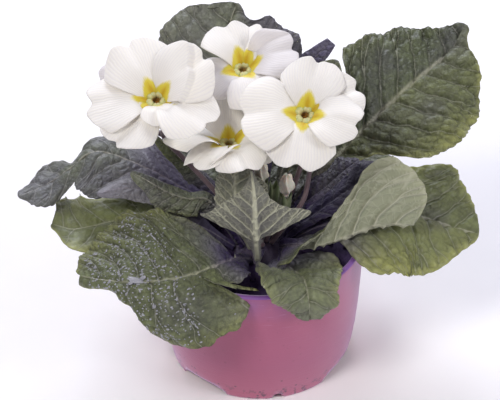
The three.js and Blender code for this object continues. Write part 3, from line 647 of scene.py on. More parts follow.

# Lengths are in millimetres and angles in degrees. The spine is the midrib from crown to tip, and
# widths, trail, lift and curl are read along it, for both sides or for the left and the right: half
# the blade's width, how far its margin trails behind the midrib, and how it rises and bends. Veins
# is the gap between side veins. Habit says how wrinkled and how pale a leaf is, and violet says how
# much violet is painted at its foot and its tip, and where that ends: painted shade, with some
# violet pigment.
LEAVES = {
    "leaf_right_back": {
        "spine": [(7.4, 5.4, 57.5), (21, 11.5, 78), (37, 20, 93), (61.5, 39, 108.5), (81.5, 60, 114),
            (90.5, 72, 121)],
        "widths": [2.2, 2.2, 2.2, (2.3, 2.6), (3, 5), (6, 9), (10, 15), (16, 28), (31, 32.4), (29.2, 32.9),
            (26.8, 31.7), (23.5, 28.8), (19.2, 20.6), (11.5, 7.7), (1.5, 1)],
        "lift": [30, (12, 8), (8, 4)], "curl": [-10, (-14, -26)], "roll": [0, 26, 26, 20],
        "grid": (161, 81), "veins": 10.5, "slant": (0.7, 0.3), "pillow": 1.7, "rib": 1.5,
        "rib_end": (0.82, 0.88), "habit": (0.75, 0), "gloom": 0.22, "yellow": (0.1, 0.6),
        "violet": (0.2, 0.05, 0.7),
    },
    "leaf_right_low": {
        "spine": [(12.4, 0, 56), (27, 1, 64.6), (45, 3, 68), (66, 7, 66), (82, 6, 61), (95, 5, 57)],
        "widths": [2.2, (2.2, 2.4), (2.2, 4), (2.4, 8), (4, 15.3), (9, 26), (14.3, 30.8), (17.9, 31.4),
            (21.3, 31.8), (24.4, 32.1), (28.6, 32.5), (29.5, 30.3), (25.8, 22.1), (18.3, 12.4), 2],
        "lift": [(8, 14), 8], "roll": [0, 14, 20, 16], "sweep": (0.15, -0.1), "grid": (141, 85),
        "veins": 10, "slant": (0.6, 0.45), "pillow": 1.1, "ruffle": (0.8, 17), "rib": 0.5,
        "habit": (0.42, 0), "gloom": 0.12, "yellow": (0.6, 1.1), "violet": (0.85, 0, 0.55),
    },
    "leaf_right_folded": {
        "spine": [(8.4, -6, 58), (11, -10, 62.5), (16, -11.5, 64), (23, -12, 65), (34, -12, 68),
            (47, -10, 72.8), (57, -9, 73.6), (65.5, -8, 72)],
        "widths": [2.2, (3, 10), (3.2, 13.1), (3.2, 17), (4.4, 10), (5.2, 7.2), (7.9, 9.6), (10, 11.5),
            (11, 13.8), (11.7, 16.1), (11.8, 19.6), (11.8, 24.6), (12, 28.3), (11.4, 24.8), (10, 18.6),
            (6.9, 13.7), (1, 1.4)],
        "trail": [0] * 5 + [(0, -0.4), (0, -0.32), (0, -0.19), (0, -0.19), (0, -0.23), (0, -0.24),
            (0, -0.17), (0, -0.22), (0, -0.32), (0, -0.51), (0, -0.51), (0, -0.6)],
        "lift": [(20, 6), (20, 4), (20, 62), (20, 108), (20, 118), (20, 118), (20, 116), (20, 112)],
        "curl": [-6], "heading": 5, "grid": (131, 81), "veins": 9, "slant": (0.5, 0.7), "pillow": 0.5,
        "ruffle": (0.5, 17), "rib": 0.7, "yellow": (0.1, 0.35), "violet": (0.15, 0, 0.3),
    },
    "leaf_front_upright": {
        "spine": [(0.4, -7.8, 58), (-1, -15, 59.5), (-1.3, -19, 66), (-1.8, -21.5, 76), (-2.1, -22, 86.5),
            (-2.5, -19, 97), (-3.8, -12, 104)],
        "widths": [1.8, 1.8, 1.8, 1.8, (1.8, 2.1), (2, 3.3), (3.1, 4.7), (7.8, 8), (23.9, 24.2), (21.8, 21),
            (16, 18.1), (11.4, 14.5), (7.6, 11.1), (5.5, 7.9), (3.5, 4.6), (1.8, 1.6), 0.4],
        "lift": [12, 16, 20], "curl": [0], "heading": -90, "grid": (111, 71), "veins": 6, "pillow": 0.45,
        "ruffle": (0.5, 12), "teeth": 0.4, "yellow": (0, 0.05), "violet": (0.9, 0.6, 0.6),
    },
    "leaf_front_right": {
        "spine": [(7, -11.4, 55.8), (13, -18, 57), (17, -26, 59.6), (18.5, -35, 64.5), (19.5, -42.5, 65.5),
            (20.5, -47.5, 60), (20.5, -49, 53)],
        "widths": [(2.5, 3), (10, 13), (17, 16.6), (19.4, 17), (18.6, 15.5), (17.1, 17.8), (16.3, 19.3),
            (15.1, 18.4), (13.8, 16.8), (12.8, 14.8), 12.6, (11.6, 9.5), (7, 5.3)],
        "trail": [0] * 3 + [(0, 0.3), (0, 0.8), (0, 0.5), (0, -0.3), (0, -0.2), 0, 0, 0, (0, -0.16),
            (0, 0.1)],
        "lift": [6, 14, 8, -8], "curl": [-10, -10, -20, -40], "heading": -90, "grid": (101, 71), "veins": 8,
        "pillow": 0.9, "rib": 0.4, "habit": (0.5, 0.16), "yellow": (0.35, 0.25), "violet": (0.5, 0, 0.5),
    },
    "leaf_front_left": {
        "spine": [(-4, -11.6, 56.4), (-13, -26, 67.5), (-30, -39.5, 70.5), (-49, -41, 68), (-64, -36, 64.5),
            (-76, -29, 61)],
        "widths": [2.3, (2.5, 2.3), (5, 2.5), (8.5, 2.7), (10.9, 6), (13, 26), (13.5, 33.7), (11, 35.4),
            (17, 37.4), (20.7, 38.7), (26.2, 39.4), (27.3, 39), (29.7, 36.9), (29.1, 33.5), (25.5, 28.2),
            (13.2, 22.5), (6.3, 17.1), (4.3, 12.8), (4.4, 8.2), (4.8, 4.2), (4, 0.7)],
        "trail": [0] * 6 + [(0.1, 0), (0.2, 0.09), (1, 0.07), (0.85, -0.03), (0.65, -0.17), (0.55, -0.28),
            (0.49, -0.39), (0.33, -0.49), (0.29, -0.64), (0.25, -0.9), (0.15, -1.12), (0.05, -1.27),
            (0, -1.64), (0, -2), (0, -2.3)],
        "lift": [(0, 12), (20, 14), (-6, 16), (-20, 16), (-26, 16)],
        "curl": [-10, (-16, -10), (-80, -10), (-64, -10), (-50, -10)], "sweep": (-0.1, 0.1), "heading": 185,
        "slit": (0.425, False, 0.011, 0.8), "grid": (161, 101), "veins": 9.5, "slant": (0, 0.15),
        "pillow": 0.95, "rib": 0.8, "habit": (0.95, 0), "gloom": 0.15, "yellow": (0.32, 0.3),
        "violet": (1.2, 0, 0.42), "violet_from": 0.15, "violet_right": -0.6,
    },
    "leaf_left_low": {
        "spine": [(-11, -3, 56), (-30, 2, 65), (-57, 4, 66), (-79, -2, 65.5), (-90, 1, 65)],
        "widths": [2.2, (2.2, 2.6), (2.4, 4), (3, 7), (5, 10), (8, 12), (10, 13), (11.8, 13), (14.2, 14.5),
            (15.7, 17.6), (12.7, 18.1), (5.5, 18.3), (1, 13.3)],
        "trail": [0] * 10 + [(-0.29, 0.22), (-0.12, -0.32), (0, -0.19)],
        "lift": [(-8, 16)], "grid": (111, 61), "veins": 9, "pillow": 0.35, "teeth": 0.35, "rib": 0.5,
        "habit": (0.3, 0), "gloom": 0.04, "yellow": (0.55, 0.75), "violet": (0.9, 0, 0.5),
    },
    "leaf_left_back": {
        "spine": [(-7.5, 3.6, 57.5), (-22, 14, 67), (-37, 19.5, 74), (-49, 21, 81), (-70, 25, 87),
            (-82, 20, 82), (-91, 16, 77), (-104, 8, 74.5)],
        "widths": [2.2, (2.5, 5), (5, 12), (9, 17), (13, 20), (16, 21), (18, 20), (22.2, 17), (24.5, 13),
            (20.8, 8), (8.5, 5), (9.4, 9.1), (10.8, 11.1), (6.3, 8.3), (1.1, 1)],
        "trail": [0] * 9 + [(-0.2, -0.4), (-1, -0.3), (-0.76, 0.12), (-0.64, 0.18), (-0.82, 0.24),
            (0.2, 0)],
        "lift": [(-4, -10), (-12, -2), (-20, 8)], "curl": [(-16, -10)], "grid": (141, 71), "veins": 9,
        "pillow": 0.4, "ruffle": (1.6, 26), "rib": 0.6, "habit": (0.45, 0), "gloom": 0.14,
        "yellow": (0.05, 0.1), "violet": (1, 0.4, 0.55),
    },
    "leaf_left_curled": {
        "spine": [(-6.6, -4.6, 57.5), (-14.5, -3, 71), (-22.6, -2, 81), (-30.7, -2, 81.5),
            (-38.3, -1, 83.6), (-46.8, 1, 87.9), (-54.9, 5, 90.2)],
        "widths": [2, (2.2, 2), (4, 3), (7, 4), (8, 4.5), (7.5, 4.5), (5, 3.5), 1],
        "lift": [(-30, 20)], "curl": [(-60, -30)], "grid": (101, 41), "veins": 4, "pillow": 0.8, "rib": 0.3,
        "habit": (0.8, 0), "yellow": (0.3, 0.1), "violet": (0.5, 0.2, 0.75),
    },
    "leaf_left_small": {
        "spine": [(-9, -1.6, 57.3), (-17, -1, 70), (-25.7, -1, 76.6), (-42.7, 2, 80.7), (-57, 3, 83.4),
            (-69.5, 0, 82.3)],
        "widths": [2, 2, 2.6, 4, 5.5, 6, 5, 0.8],
        "lift": [(-20, 10)], "grid": (81, 35), "veins": 4, "pillow": 0.6, "rib": 0.4, "habit": (0.5, 0.25),
        "yellow": (0.1, 0), "violet": (0.9, 0.64, 0.5),
    },
    "leaf_right_young": {
        "spine": [(8.4, -0.8, 58), (18, 3.4, 73), (28, 4, 83), (36, 5, 91), (42, 6.5, 95.5)],
        "widths": [2, (4, 3), (8, 4), (10, 4), (10, 3.5), (8, 3), 1],
        "lift": [20], "curl": [-40], "grid": (91, 41), "veins": 4.5, "pillow": 0.8, "rib": 0.4,
        "yellow": 0.05, "violet": (1.1, 0.5, 0.75),
    },
    "leaf_right_purple": {
        "spine": [(10.4, 1.6, 57.5), (20, 6, 64), (32, 9, 73), (45, 9.5, 84), (58, 8, 92)],
        "widths": [2.2, (6, 5), (11, 9), (13, 10), (12, 8), (8, 5), 1],
        "grid": (91, 41), "veins": 6, "pillow": 0.5, "rib": 0.4, "habit": (0.5, 0.06), "yellow": 0,
        "violet": (1.1, 0.8, 0.9),
    },
    "leaf_left_rolled": {
        "spine": [(-6, -0.4, 58.2), (-16, 9, 75), (-32, 14, 88.5), (-46, 16, 103)],
        "widths": [2, 2.4, 4.5, 6, 5.5, 4, 1],
        "lift": [(-30, -10)], "curl": [(-80, -60)], "grid": (91, 41), "veins": 3.6, "pillow": 1, "rib": 0.4,
        "yellow": (0.3, 0.1), "violet": (1, 0.1, 0.8), "violet_from": 0.35,
    },
    "leaf_front_young": {
        "spine": [(-4.2, -6, 58), (-8, -9, 71), (-10, -7, 86), (-10, -2, 101)],
        "widths": [2, 3, 7, (11, 10), (13, 11.5), (13, 11), (9, 8), 2],
        "lift": [20], "heading": -110, "grid": (81, 41), "veins": 5, "pillow": 0.4, "rib": 0.5,
        "yellow": 0.2, "violet": (0.9, 0.45, 0.9),
    },
    "leaf_back_left": {
        "spine": [(-3.6, 8, 57.5), (-8, 26, 80), (-11, 43, 100), (-14, 58, 115), (-13, 68, 125),
            (-10, 74, 131)],
        "widths": [2.2, 2.2, 2.2, 2.2, 3, (5, 6), (9, 12), (13, 20.3), (17.5, 27.9), (25.3, 33.1),
            (28.5, 34.8), (29.7, 31.7), (26.8, 24.4), (20.3, 13.8), (6.4, 3.1)],
        "trail": [0] * 9 + [(-0.24, 0), (-0.27, -0.04), (-0.15, -0.16), (-0.04, -0.23), (0.03, -0.3),
            (0.7, 0.83)],
        "lift": [(6, 0)], "curl": [(-14, -30)], "heading": 92, "grid": (111, 71), "veins": 10,
        "pillow": 1.2, "rib": 0.6, "habit": (0.7, 0.26), "yellow": (0.1, 0.15), "violet": (0.7, 0.3, 0.75),
        "violet_right": 0.6,
    },
    "leaf_back_tip": {
        "spine": [(0.8, 6.4, 58.2), (4, 30, 84), (13, 48, 105), (31, 60, 120)],
        "widths": [2, 2, 2.4, 3.5, (5.5, 6), (6, 6.5), (5, 5.8), (2.4, 2.8)],
        "lift": [20], "curl": [-30], "grid": (91, 41), "veins": 4, "pillow": 1.1, "ruffle": (0.8, 9),
        "rib": 0.3, "yellow": 0, "violet": (0.9, 0.75, 0.75),
    },
    "leaf_back_right_tall": {
        "spine": [(5, 5.6, 58.2), (9.4, 16, 82), (19, 22, 105), (32.8, 29, 131)],
        "widths": [2, 2, 2.4, 5, (8.5, 8), (9.8, 9.2), 9.2, 1],
        "grid": (91, 41), "veins": 6, "pillow": 0.8, "yellow": 0.3, "violet": (0.4, 0, 0.75),
    },
    "leaf_back_low": {
        "spine": [(1, 11.5, 55.8), (3, 30, 66), (6, 54, 71), (8, 74, 66), (8, 86, 58)],
        "widths": [2.2, 2.2, 6, 15, 20, (22.5, 22), (22.5, 22), 19, 12, 1],
        "grid": (81, 51), "veins": 9, "pillow": 1, "yellow": (0.3, 0.2), "violet": (0.4, 0.05, 0.75),
    },
    "leaf_back_right_low": {
        "spine": [(9.6, 8, 55.8), (24, 25, 65), (40, 42, 68), (51, 55, 63), (57, 62, 57)],
        "widths": [2.2, 2.2, (6, 5), (13, 9), (16, 14), 17.5, 18, 15, 9.5, 1],
        "grid": (81, 51), "veins": 8, "pillow": 0.9, "yellow": (0.2, 0.4), "violet": (0.4, 0.05, 0.75),
    },
    "leaf_back_left_low": {
        "spine": [(-8, 7.6, 55.8), (-25, 26, 66), (-46, 40, 69), (-60, 52, 62), (-68, 57, 55)],
        "widths": [2.2, 2.2, (5, 10), (10, 18), (15.5, 22), (20.5, 22), (20.5, 20), 17.5, 11, 1],
        "grid": (81, 51), "veins": 9, "pillow": 0.9, "yellow": (0.3, 0.2), "violet": (0.4, 0.1, 0.75),
    },
}

skins = {}
for seed, (name, leaf) in enumerate(LEAVES.items(), 1):
    skins[name] = leaf_skin(leaf, seed)
    make_piece(name + "_blade", [skins[name]], [leaf_upper, leaf_under], name)

# The water: fine droplets that the watering left on the front left leaf. The hairs hold them up as
# low domes, most under 1 mm across, and those in the veins' grooves run together and are longer.
DROPS = 760
WET_FROM, WET_LENGTH = 0.34, 0.6

# Water over hairs: clear, with a pale white colour painted in as painted reflection, mottled about
# 0.4 mm across.
water, tree, shader, where = new_material("water_droplets", roughness=0.08, ior=1.333)
painted_reflection = add(tree, "TexNoise", where, scale=2.5, detail=2)
pale = add(tree, "Mix", painted_reflection, "#AEB0B9", "#E4E4EA", data_type="RGBA")
feed(shader, base_color=pale, transmission_weight=0.45)


def dome(at, normal, ahead, size, stretch):
    """A low dome of water on a face, drawn out along a direction."""
    normal, ahead = normal / np.linalg.norm(normal), ahead / np.linalg.norm(ahead)
    sideways = np.cross(normal, ahead)
    cap, faces = turned([(0, -0.25), (0.9, -0.2), (1, 0), (0.8, 0.34), (0, 0.58)], segments=8)
    wobble = 1 + 0.14 * np.sin(2 * np.arctan2(cap[..., 1:2], cap[..., :1]) + 40 * size)
    cap = cap * size
    points = at + cap[..., :1] * wobble * stretch * ahead + cap[..., 1:2] * wobble * sideways
    return shell(points + cap[..., 2:] * normal, faces, place=cap + at)


wet_leaf = skins["leaf_front_left"]
rows, columns = LEAVES["leaf_front_left"]["grid"]
face, read = (wet_leaf[key][: rows * columns].reshape(rows, columns, 3) for key in ("points", "veins"))
tips, sides = np.gradient(face, axis=(0, 1))
normals = np.cross(sides, tips)
room = np.linalg.norm(normals, axis=-1)
rng = np.random.default_rng(3)
domes = []
while len(domes) < DROPS:
    i = int(rows * (WET_FROM + WET_LENGTH * rng.random()))
    j = int(columns * (0.03 + 0.94 * rng.random()))
    off = abs(read[i, j, 0] - round(read[i, j, 0]))
    # Fewer lie towards the crown, where the leaf is sheltered, and on the lobe over the pot.
    wet = smooth(i / rows, 0.36, 0.6) * (1 - 0.92 * smooth(face[i, j, 0], -32, -20))
    wet *= 0.6 + 0.4 * (off < 0.1)
    if rng.random() > wet * room[i, j] / room.max() * 1.6:
        continue
    in_groove = off < 0.06 and rng.random() < 0.6
    ahead = sides[i, j] * np.sign(j - columns / 2) + 0.5 * tips[i, j] if in_groove else tips[i, j]
    size = 0.24 + 0.28 * rng.random() ** 2
    stretch = 1.7 + 1.2 * rng.random() if in_groove else 1 + 0.6 * rng.random()
    domes.append(dome(face[i, j], normals[i, j], ahead, size, stretch))
# One large drop lies along the midrib towards the tip, run together from three.
for step, aside, size, stretch in ((0, 1, 1.8, 2.2), (4, -3, 1.2, 2.0), (-5, 3, 1.0, 1.9)):
    i, j = int(rows * 0.70) + step, columns // 2 + aside
    domes.append(dome(face[i, j] + [0, 0, 0.7], normals[i, j], tips[i, j], size, stretch))
make_piece("leaf_front_left_water", domes, [water])

# The flower stalks: round, hairy, purple-brown, one for each flower and bud, each from the crown
# to the foot of its calyx.


def flower_frame(place, azimuth, elevation):
    """A flower's directions as rows: right, top and face, and the place of its throat."""
    a, e = math.radians(azimuth), math.radians(elevation)
    face = np.array([math.cos(e) * math.cos(a), math.cos(e) * math.sin(a), math.sin(e)])
    right = np.cross([0, 0, 1], face)
    right /= np.linalg.norm(right)
    return np.stack([right, np.cross(face, right), face]), np.array(place, float)


def put(points, stand):
    """Takes points from a flower's own directions to the plant's."""
    return points @ stand[0] + stand[1]


STALK_ROWS, STALK_SIDES = 49, 14


def stalk_skin(foot, middle, stand, depth, radius):
    """A round stalk from the crown, through a point between, to the foot of a calyx."""
    face = stand[0][2]
    end = stand[1] - face * depth
    lead = np.linalg.norm(end - middle) / 3
    spine = [foot, middle, end - face * lead, end]
    t = np.linspace(0, 1, STALK_ROWS)
    centre, ahead, length = along(spine, t)
    sideways = np.cross(ahead, [0.3, 1, 0.1])
    sideways /= np.linalg.norm(sideways, axis=1, keepdims=True)
    other = np.cross(ahead, sideways)
    around = np.linspace(0, 2 * np.pi, STALK_SIDES, endpoint=False)[None, :]
    girth = radius * (1.12 - 0.16 * np.sin(np.pi * t))[:, None] + 0.06 * np.cos(3 * around + 9 * t[:, None])
    tube = centre[:, None, :] + sideways[:, None, :] * (girth * np.cos(around))[..., None]
    tube = tube + other[:, None, :] * (girth * np.sin(around))[..., None]
    caps = [np.repeat(c[None, None, :], STALK_SIDES, axis=1) for c in (centre[0], centre[-1])]
    tube = np.concatenate([caps[0], tube, caps[1]])
    run = np.concatenate([[0], t, [1]])[:, None] * length * 0.35
    place = np.stack(np.broadcast_arrays(np.cos(around) * 1.2, np.sin(around) * 1.2, run), axis=-1)
    return shell(tube, grid_faces(STALK_ROWS + 2, STALK_SIDES, wrap=True), place=place)


# Thin purple-brown skin under short pale hairs, streaked lengthwise about 1 mm apart.
stalk_purple, tree, shader, where = new_material("stalk_purple_skin", roughness=0.55)
streak = add(tree, "TexNoise", where, scale=0.8, detail=4, roughness=0.6)
brown = add(tree, "Mix", streak, "#4A3A42", "#7A6466", data_type="RGBA")
hairs = add(tree, "TexNoise", where, scale=5, detail=2)
bump = add(tree, "Bump", height=hairs, strength=0.5, distance=0.0003)
feed(shader, base_color=brown, normal=bump, sheen_weight=0.3)

# The calyces: pale green cups with five ribs, each rib ending in a pointed tooth, finely hairy.


def calyx_skin(stand, depth, length, inner, outer, tooth):
    """A ribbed cup whose mouth is at a depth behind the throat."""
    profile = [(0, -length), (1.3, -length), (outer * 0.62, -length + 0.9)]
    profile += [(outer * 0.84, -length + 2.6), (outer, -length * 0.5), (outer * 0.98, -length * 0.2)]
    profile += [(outer * 0.93, 0), (outer * 0.9, 0.15), (outer * 0.86, 0), (outer * 0.88, -length * 0.2)]
    profile += [(outer - 0.55, -length * 0.5), (inner + 0.3, -length + 3.2), (0, -length + 2.9)]
    cup, faces = turned(profile, segments=60)
    turn = np.arctan2(cup[..., 1], cup[..., 0])
    rib = np.abs(np.cos(2.5 * turn)) ** 1.6
    swell = np.where(np.hypot(cup[..., 0], cup[..., 1]) > outer * 0.6, 0.88 + 0.17 * rib, 1)
    cup[..., :2] *= swell[..., None]
    high = smooth(cup[..., 2], -length * 0.35, 0)
    cup[..., 2] += high * tooth * (rib**1.5 - 0.45)
    place = np.stack([turn * 3, cup[..., 2] * 0.5, cup[..., 0] * 0], axis=-1)
    marks = np.zeros((*cup.shape[:2], 4))
    marks[..., 0] = rib
    cup[..., 2] -= depth
    return shell(put(cup, stand), faces, place=place, marks=marks)


# Soft green tissue under fine down, mottled about 1 mm across and darker on the ribs.
calyx_green, tree, shader, where = new_material("calyx_downy_green", roughness=0.6)
marked = add(tree, "Attribute", attribute_name="marks")
ribbed = add(tree, "SeparateColor", marked)
cloud = add(tree, "TexNoise", where, scale=0.9, detail=3)
pale = add(tree, "Mix", cloud, "#7C8662", "#9CA37E", data_type="RGBA")
final = add(tree, "Mix", ribbed, pale, "#5F6B48", data_type="RGBA")
bump = add(tree, "Bump", height=cloud, strength=0.4, distance=0.0004)
feed(shader, base_color=final, normal=bump, sheen_weight=0.25)


def make_cup_and_stem(name, stand, foot, middle, depth, length, inner, outer, tooth, radius):
    """A calyx and the stalk whose end lies just under the calyx's foot."""
    cup = calyx_skin(stand, depth, length, inner, outer, tooth)
    make_piece(name + "_cup", [cup], [calyx_green], name + "_calyx")
    stem = stalk_skin(foot, middle, stand, depth + length + 0.3, radius)
    make_piece(name + "_stem", [stem], [stalk_purple], name + "_pedicel")


# The corollas: soft heart-shaped petals, mostly five, that grow as one piece with a narrow tube.
# They are white, with fine veins that fan to the rim and a pointed yellow star round the throat.
PETAL_LENGTH, PETAL_WIDTH = 27, 31
THROAT_RADIUS = 1.4
PLAIN_PETAL = {
    "size": 1, "wide": 1, "cup": 8, "droop": 2.2, "ripple": 0.9, "notch": 0.085, "layer": 0, "twist": 0,
    "fold": (0, 0), "hinge": 0, "pleat": (9, 9, 0), "star": 9.8, "shade": 0, "from": (0, 0, 0),
}


def swung(x, y, z, turn):
    """Points turned round Z by an angle in radians."""
    right, front = math.cos(turn), math.sin(turn)
    return np.stack([x * right - y * front, x * front + y * right, z], axis=-1)


def petal_skin(petal, stand, seed):
    """One petal as a closed sheet, from the throat out to its notched rim."""
    petal = PLAIN_PETAL | petal
    size = petal["size"]
    s = np.linspace(0, 1, 36)[:, None]
    side = np.linspace(-1, 1, 49)[None, :]
    notch = petal["notch"] * np.exp(-((side / 0.15) ** 2))
    rim = 0.012 * np.sin(8 * side + seed) + 0.004 * np.sin(19 * side + 2 * seed)
    end = 1.03 - notch - 0.4 * np.abs(side) ** 3 + rim
    reach = THROAT_RADIUS + (PETAL_LENGTH * size - THROAT_RADIUS) * s * end
    half = (PETAL_WIDTH / 2) * size * petal["wide"] * (0.13 + 0.87 * np.sin(np.pi / 2 * s**0.9))
    wide = half * side
    folds = np.radians(petal["fold"])
    fold = np.where(side > 0, folds[1], folds[0]) * smooth(s, 0.1, 0.4)
    cup = petal["cup"] * (1 - np.exp(-7 * s)) - 2
    ripple = petal["ripple"] * s**2 * np.sin(1.6 * np.pi * side + 1.9 * seed)
    droop = petal["droop"] * (s**3) * (0.4 + side**2)
    groove = 0.5 * np.exp(-((side / 0.14) ** 2)) * smooth(s, 0.2, 1)
    layer = petal["layer"] * smooth(s, 0.1, 0.55)
    # A pleat: beyond a line across the petal the rest of it lies lower, under a rolled edge.
    start_side, end_side, drop = petal["pleat"]
    pleat = drop * smooth(side - start_side - (end_side - start_side) * (s - 0.35) / 0.65, -0.05, 0.05)
    height = cup + ripple - droop - groove + layer - pleat + 0.04 * np.cos(2 * np.pi * side * 9) * s
    flap = np.maximum(np.abs(side) - petal["hinge"], 0) * half
    x = np.sign(side) * (np.abs(wide) - flap + flap * np.cos(fold))
    z = height + flap * np.sin(fold)
    twist, lean = math.radians(petal["twist"]), math.radians(petal["rise"] - 5)
    x, z = x * math.cos(twist) + z * math.sin(twist), z * math.cos(twist) - x * math.sin(twist)
    y, z = reach * math.cos(lean) - z * math.sin(lean), z * math.cos(lean) + reach * math.sin(lean)
    grid = swung(x, y, z, math.radians(petal["turn"] - 90)) + petal["from"]
    out, over = np.gradient(grid, axis=(0, 1))
    normal = np.cross(over, out)
    normal /= np.maximum(np.linalg.norm(normal, axis=-1, keepdims=True), 1e-9)
    thick = 0.1 + 0.24 * (1 - np.abs(side) ** 5) * (1 - s**8)
    upper = put(grid + normal * (thick / 2)[..., None], stand)
    lower = put(grid - normal * (thick / 2)[..., None], stand)
    place = np.stack([side * (1 + 0 * s), reach, wide + 0 * s], axis=-1)
    marks = np.zeros((*place.shape[:2], 4))
    # The star's point lies on the petal's middle line, 9.8 mm from the throat. Red says how far
    # inside the star a point is, green how near to that line, and blue how shaded the petal is.
    star = petal["star"] - 0.45 * np.abs(wide) - 0.24 * wide**2
    marks[..., 0] = np.clip(0.5 + (star - reach) / 10, 0, 1)
    marks[..., 1] = np.exp(-((wide / 1.3) ** 2))
    marks[..., 2] = petal["shade"]
    return closed_sheet(upper[::-1], lower[::-1], place[::-1], marks[::-1])


# Petal tissue: white, soft and a little translucent, with a satin shine and faint grey veins.
petal_white, tree, shader, where = new_material("petal_tissue", roughness=0.55, ior=1.38)
marked = add(tree, "Attribute", attribute_name="marks")
split = add(tree, "SeparateColor", marked)
fan = add(tree, "SeparateXYZ", where)
wander = add(tree, "TexNoise", where, scale=0.22, detail=2)
# About 24 veins cross a petal, a little over 1 mm apart at the rim.
angle = add(tree, "Math", fan.outputs["X"], 75, operation="MULTIPLY")
bent = add(tree, "Math", wander, 7, angle, operation="MULTIPLY_ADD")
lines = add(tree, "Math", bent, operation="SINE")
vein = add(tree, "MapRange", lines, from_min=0.2, from_max=1, to_max=0.24)
cloud = add(tree, "TexNoise", where, scale=0.12, detail=3)
white = add(tree, "Mix", cloud, "#F1ECE1", "#FAF6EB", data_type="RGBA")
veined = add(tree, "Mix", vein, white, "#DBD6DC", data_type="RGBA")
shade = add(tree, "Mix", split.outputs[2], veined, "#C9C2CB", data_type="RGBA")
# The star's yellow runs out along the veins, so its edge is streaked.
ray = add(tree, "VectorMath", where, (14, 0.25, 0), operation="MULTIPLY")
streak = add(tree, "TexNoise", ray, scale=1, detail=3)
inside = add(tree, "Math", streak, 0.3, split.outputs[0], operation="MULTIPLY_ADD")
mask = add(tree, "MapRange", inside, from_min=0.56, from_max=0.76)
star = add(tree, "Mix", mask, shade, "#E2D044", data_type="RGBA")
core = add(tree, "MapRange", inside, from_min=0.72, from_max=1.05)
deeper = add(tree, "Math", core, split.outputs[1], operation="MULTIPLY")
deep = add(tree, "Mix", deeper, star, "#CBA61C", data_type="RGBA")
bump = add(tree, "Bump", height=lines, strength=0.15, distance=0.0002)
feed(
    shader, base_color=deep, normal=bump, subsurface_weight=0.25, subsurface_radius=(1.0, 0.9, 0.8),
    subsurface_scale=0.002, sheen_weight=0.15,
)

# The throat: ten small cream-green folds stand round the mouth of the tube, and the inside of the
# tube is amber brown.
throat_cream, tree, shader, where = new_material("throat_folds", roughness=0.5, ior=1.38)
inward = add(tree, "Attribute", attribute_name="marks")
cloud = add(tree, "TexNoise", where, scale=0.8, detail=3)
cream = add(tree, "Mix", cloud, "#BEC07C", "#E2E2B2", data_type="RGBA")
red = add(tree, "SeparateColor", inward)
amber = add(tree, "Mix", red, cream, "#A98142", data_type="RGBA")
feed(shader, base_color=amber, subsurface_weight=0.2, subsurface_scale=0.001)

TUBE_OUTSIDE = [(0, -16), (1.5, -16), (1.6, -12), (1.65, -5), (2.3, -2.4), (3.1, -1)]
TUBE_OUTSIDE += [(3.5, -0.2), (3.3, 0.25), (2.6, 0.35)]
TUBE_INSIDE = [(1.9, 0.1), (1.5, -0.8), (1.3, -2.6), (0, -2.6)]
FOLD_PROFILE = [(0, -0.9), (0.62, -0.5), (0.8, 0.1), (0.72, 0.8), (0.42, 1.25), (0, 1.4)]
THROAT_FOLDS = 10


def tube_skins(stand):
    """The corolla's tube with its open mouth, and the ring of folds round it."""
    tube, faces = turned(TUBE_OUTSIDE + TUBE_INSIDE, segments=40)
    marks = np.zeros((*tube.shape[:2], 4))
    marks[len(TUBE_OUTSIDE) :, :, 0] = 1
    skins = [shell(put(tube, stand), faces, 2, place=tube, marks=marks)]
    for k in range(THROAT_FOLDS):
        turn = 2 * math.pi * (k + 0.5) / THROAT_FOLDS + (0.1 if k % 2 else -0.1)
        fold, fold_faces = turned(FOLD_PROFILE, segments=12)
        fold = fold * [2.3, 1.75 + 0.3 * hashed(k, 1, 3), 1.2 + 0.7 * hashed(k, 2, 3)]
        fold = swung(fold[..., 0] + 3.5 - 0.3 * fold[..., 2], fold[..., 1], fold[..., 2] + 0.5, turn)
        inside = np.zeros((*fold.shape[:2], 4))
        inside[..., 0] = 0.6 * smooth(2.5 - np.hypot(fold[..., 0], fold[..., 1]), 0, 1)
        skins.append(shell(put(fold, stand), fold_faces, 2, place=fold, marks=inside))
    return skins


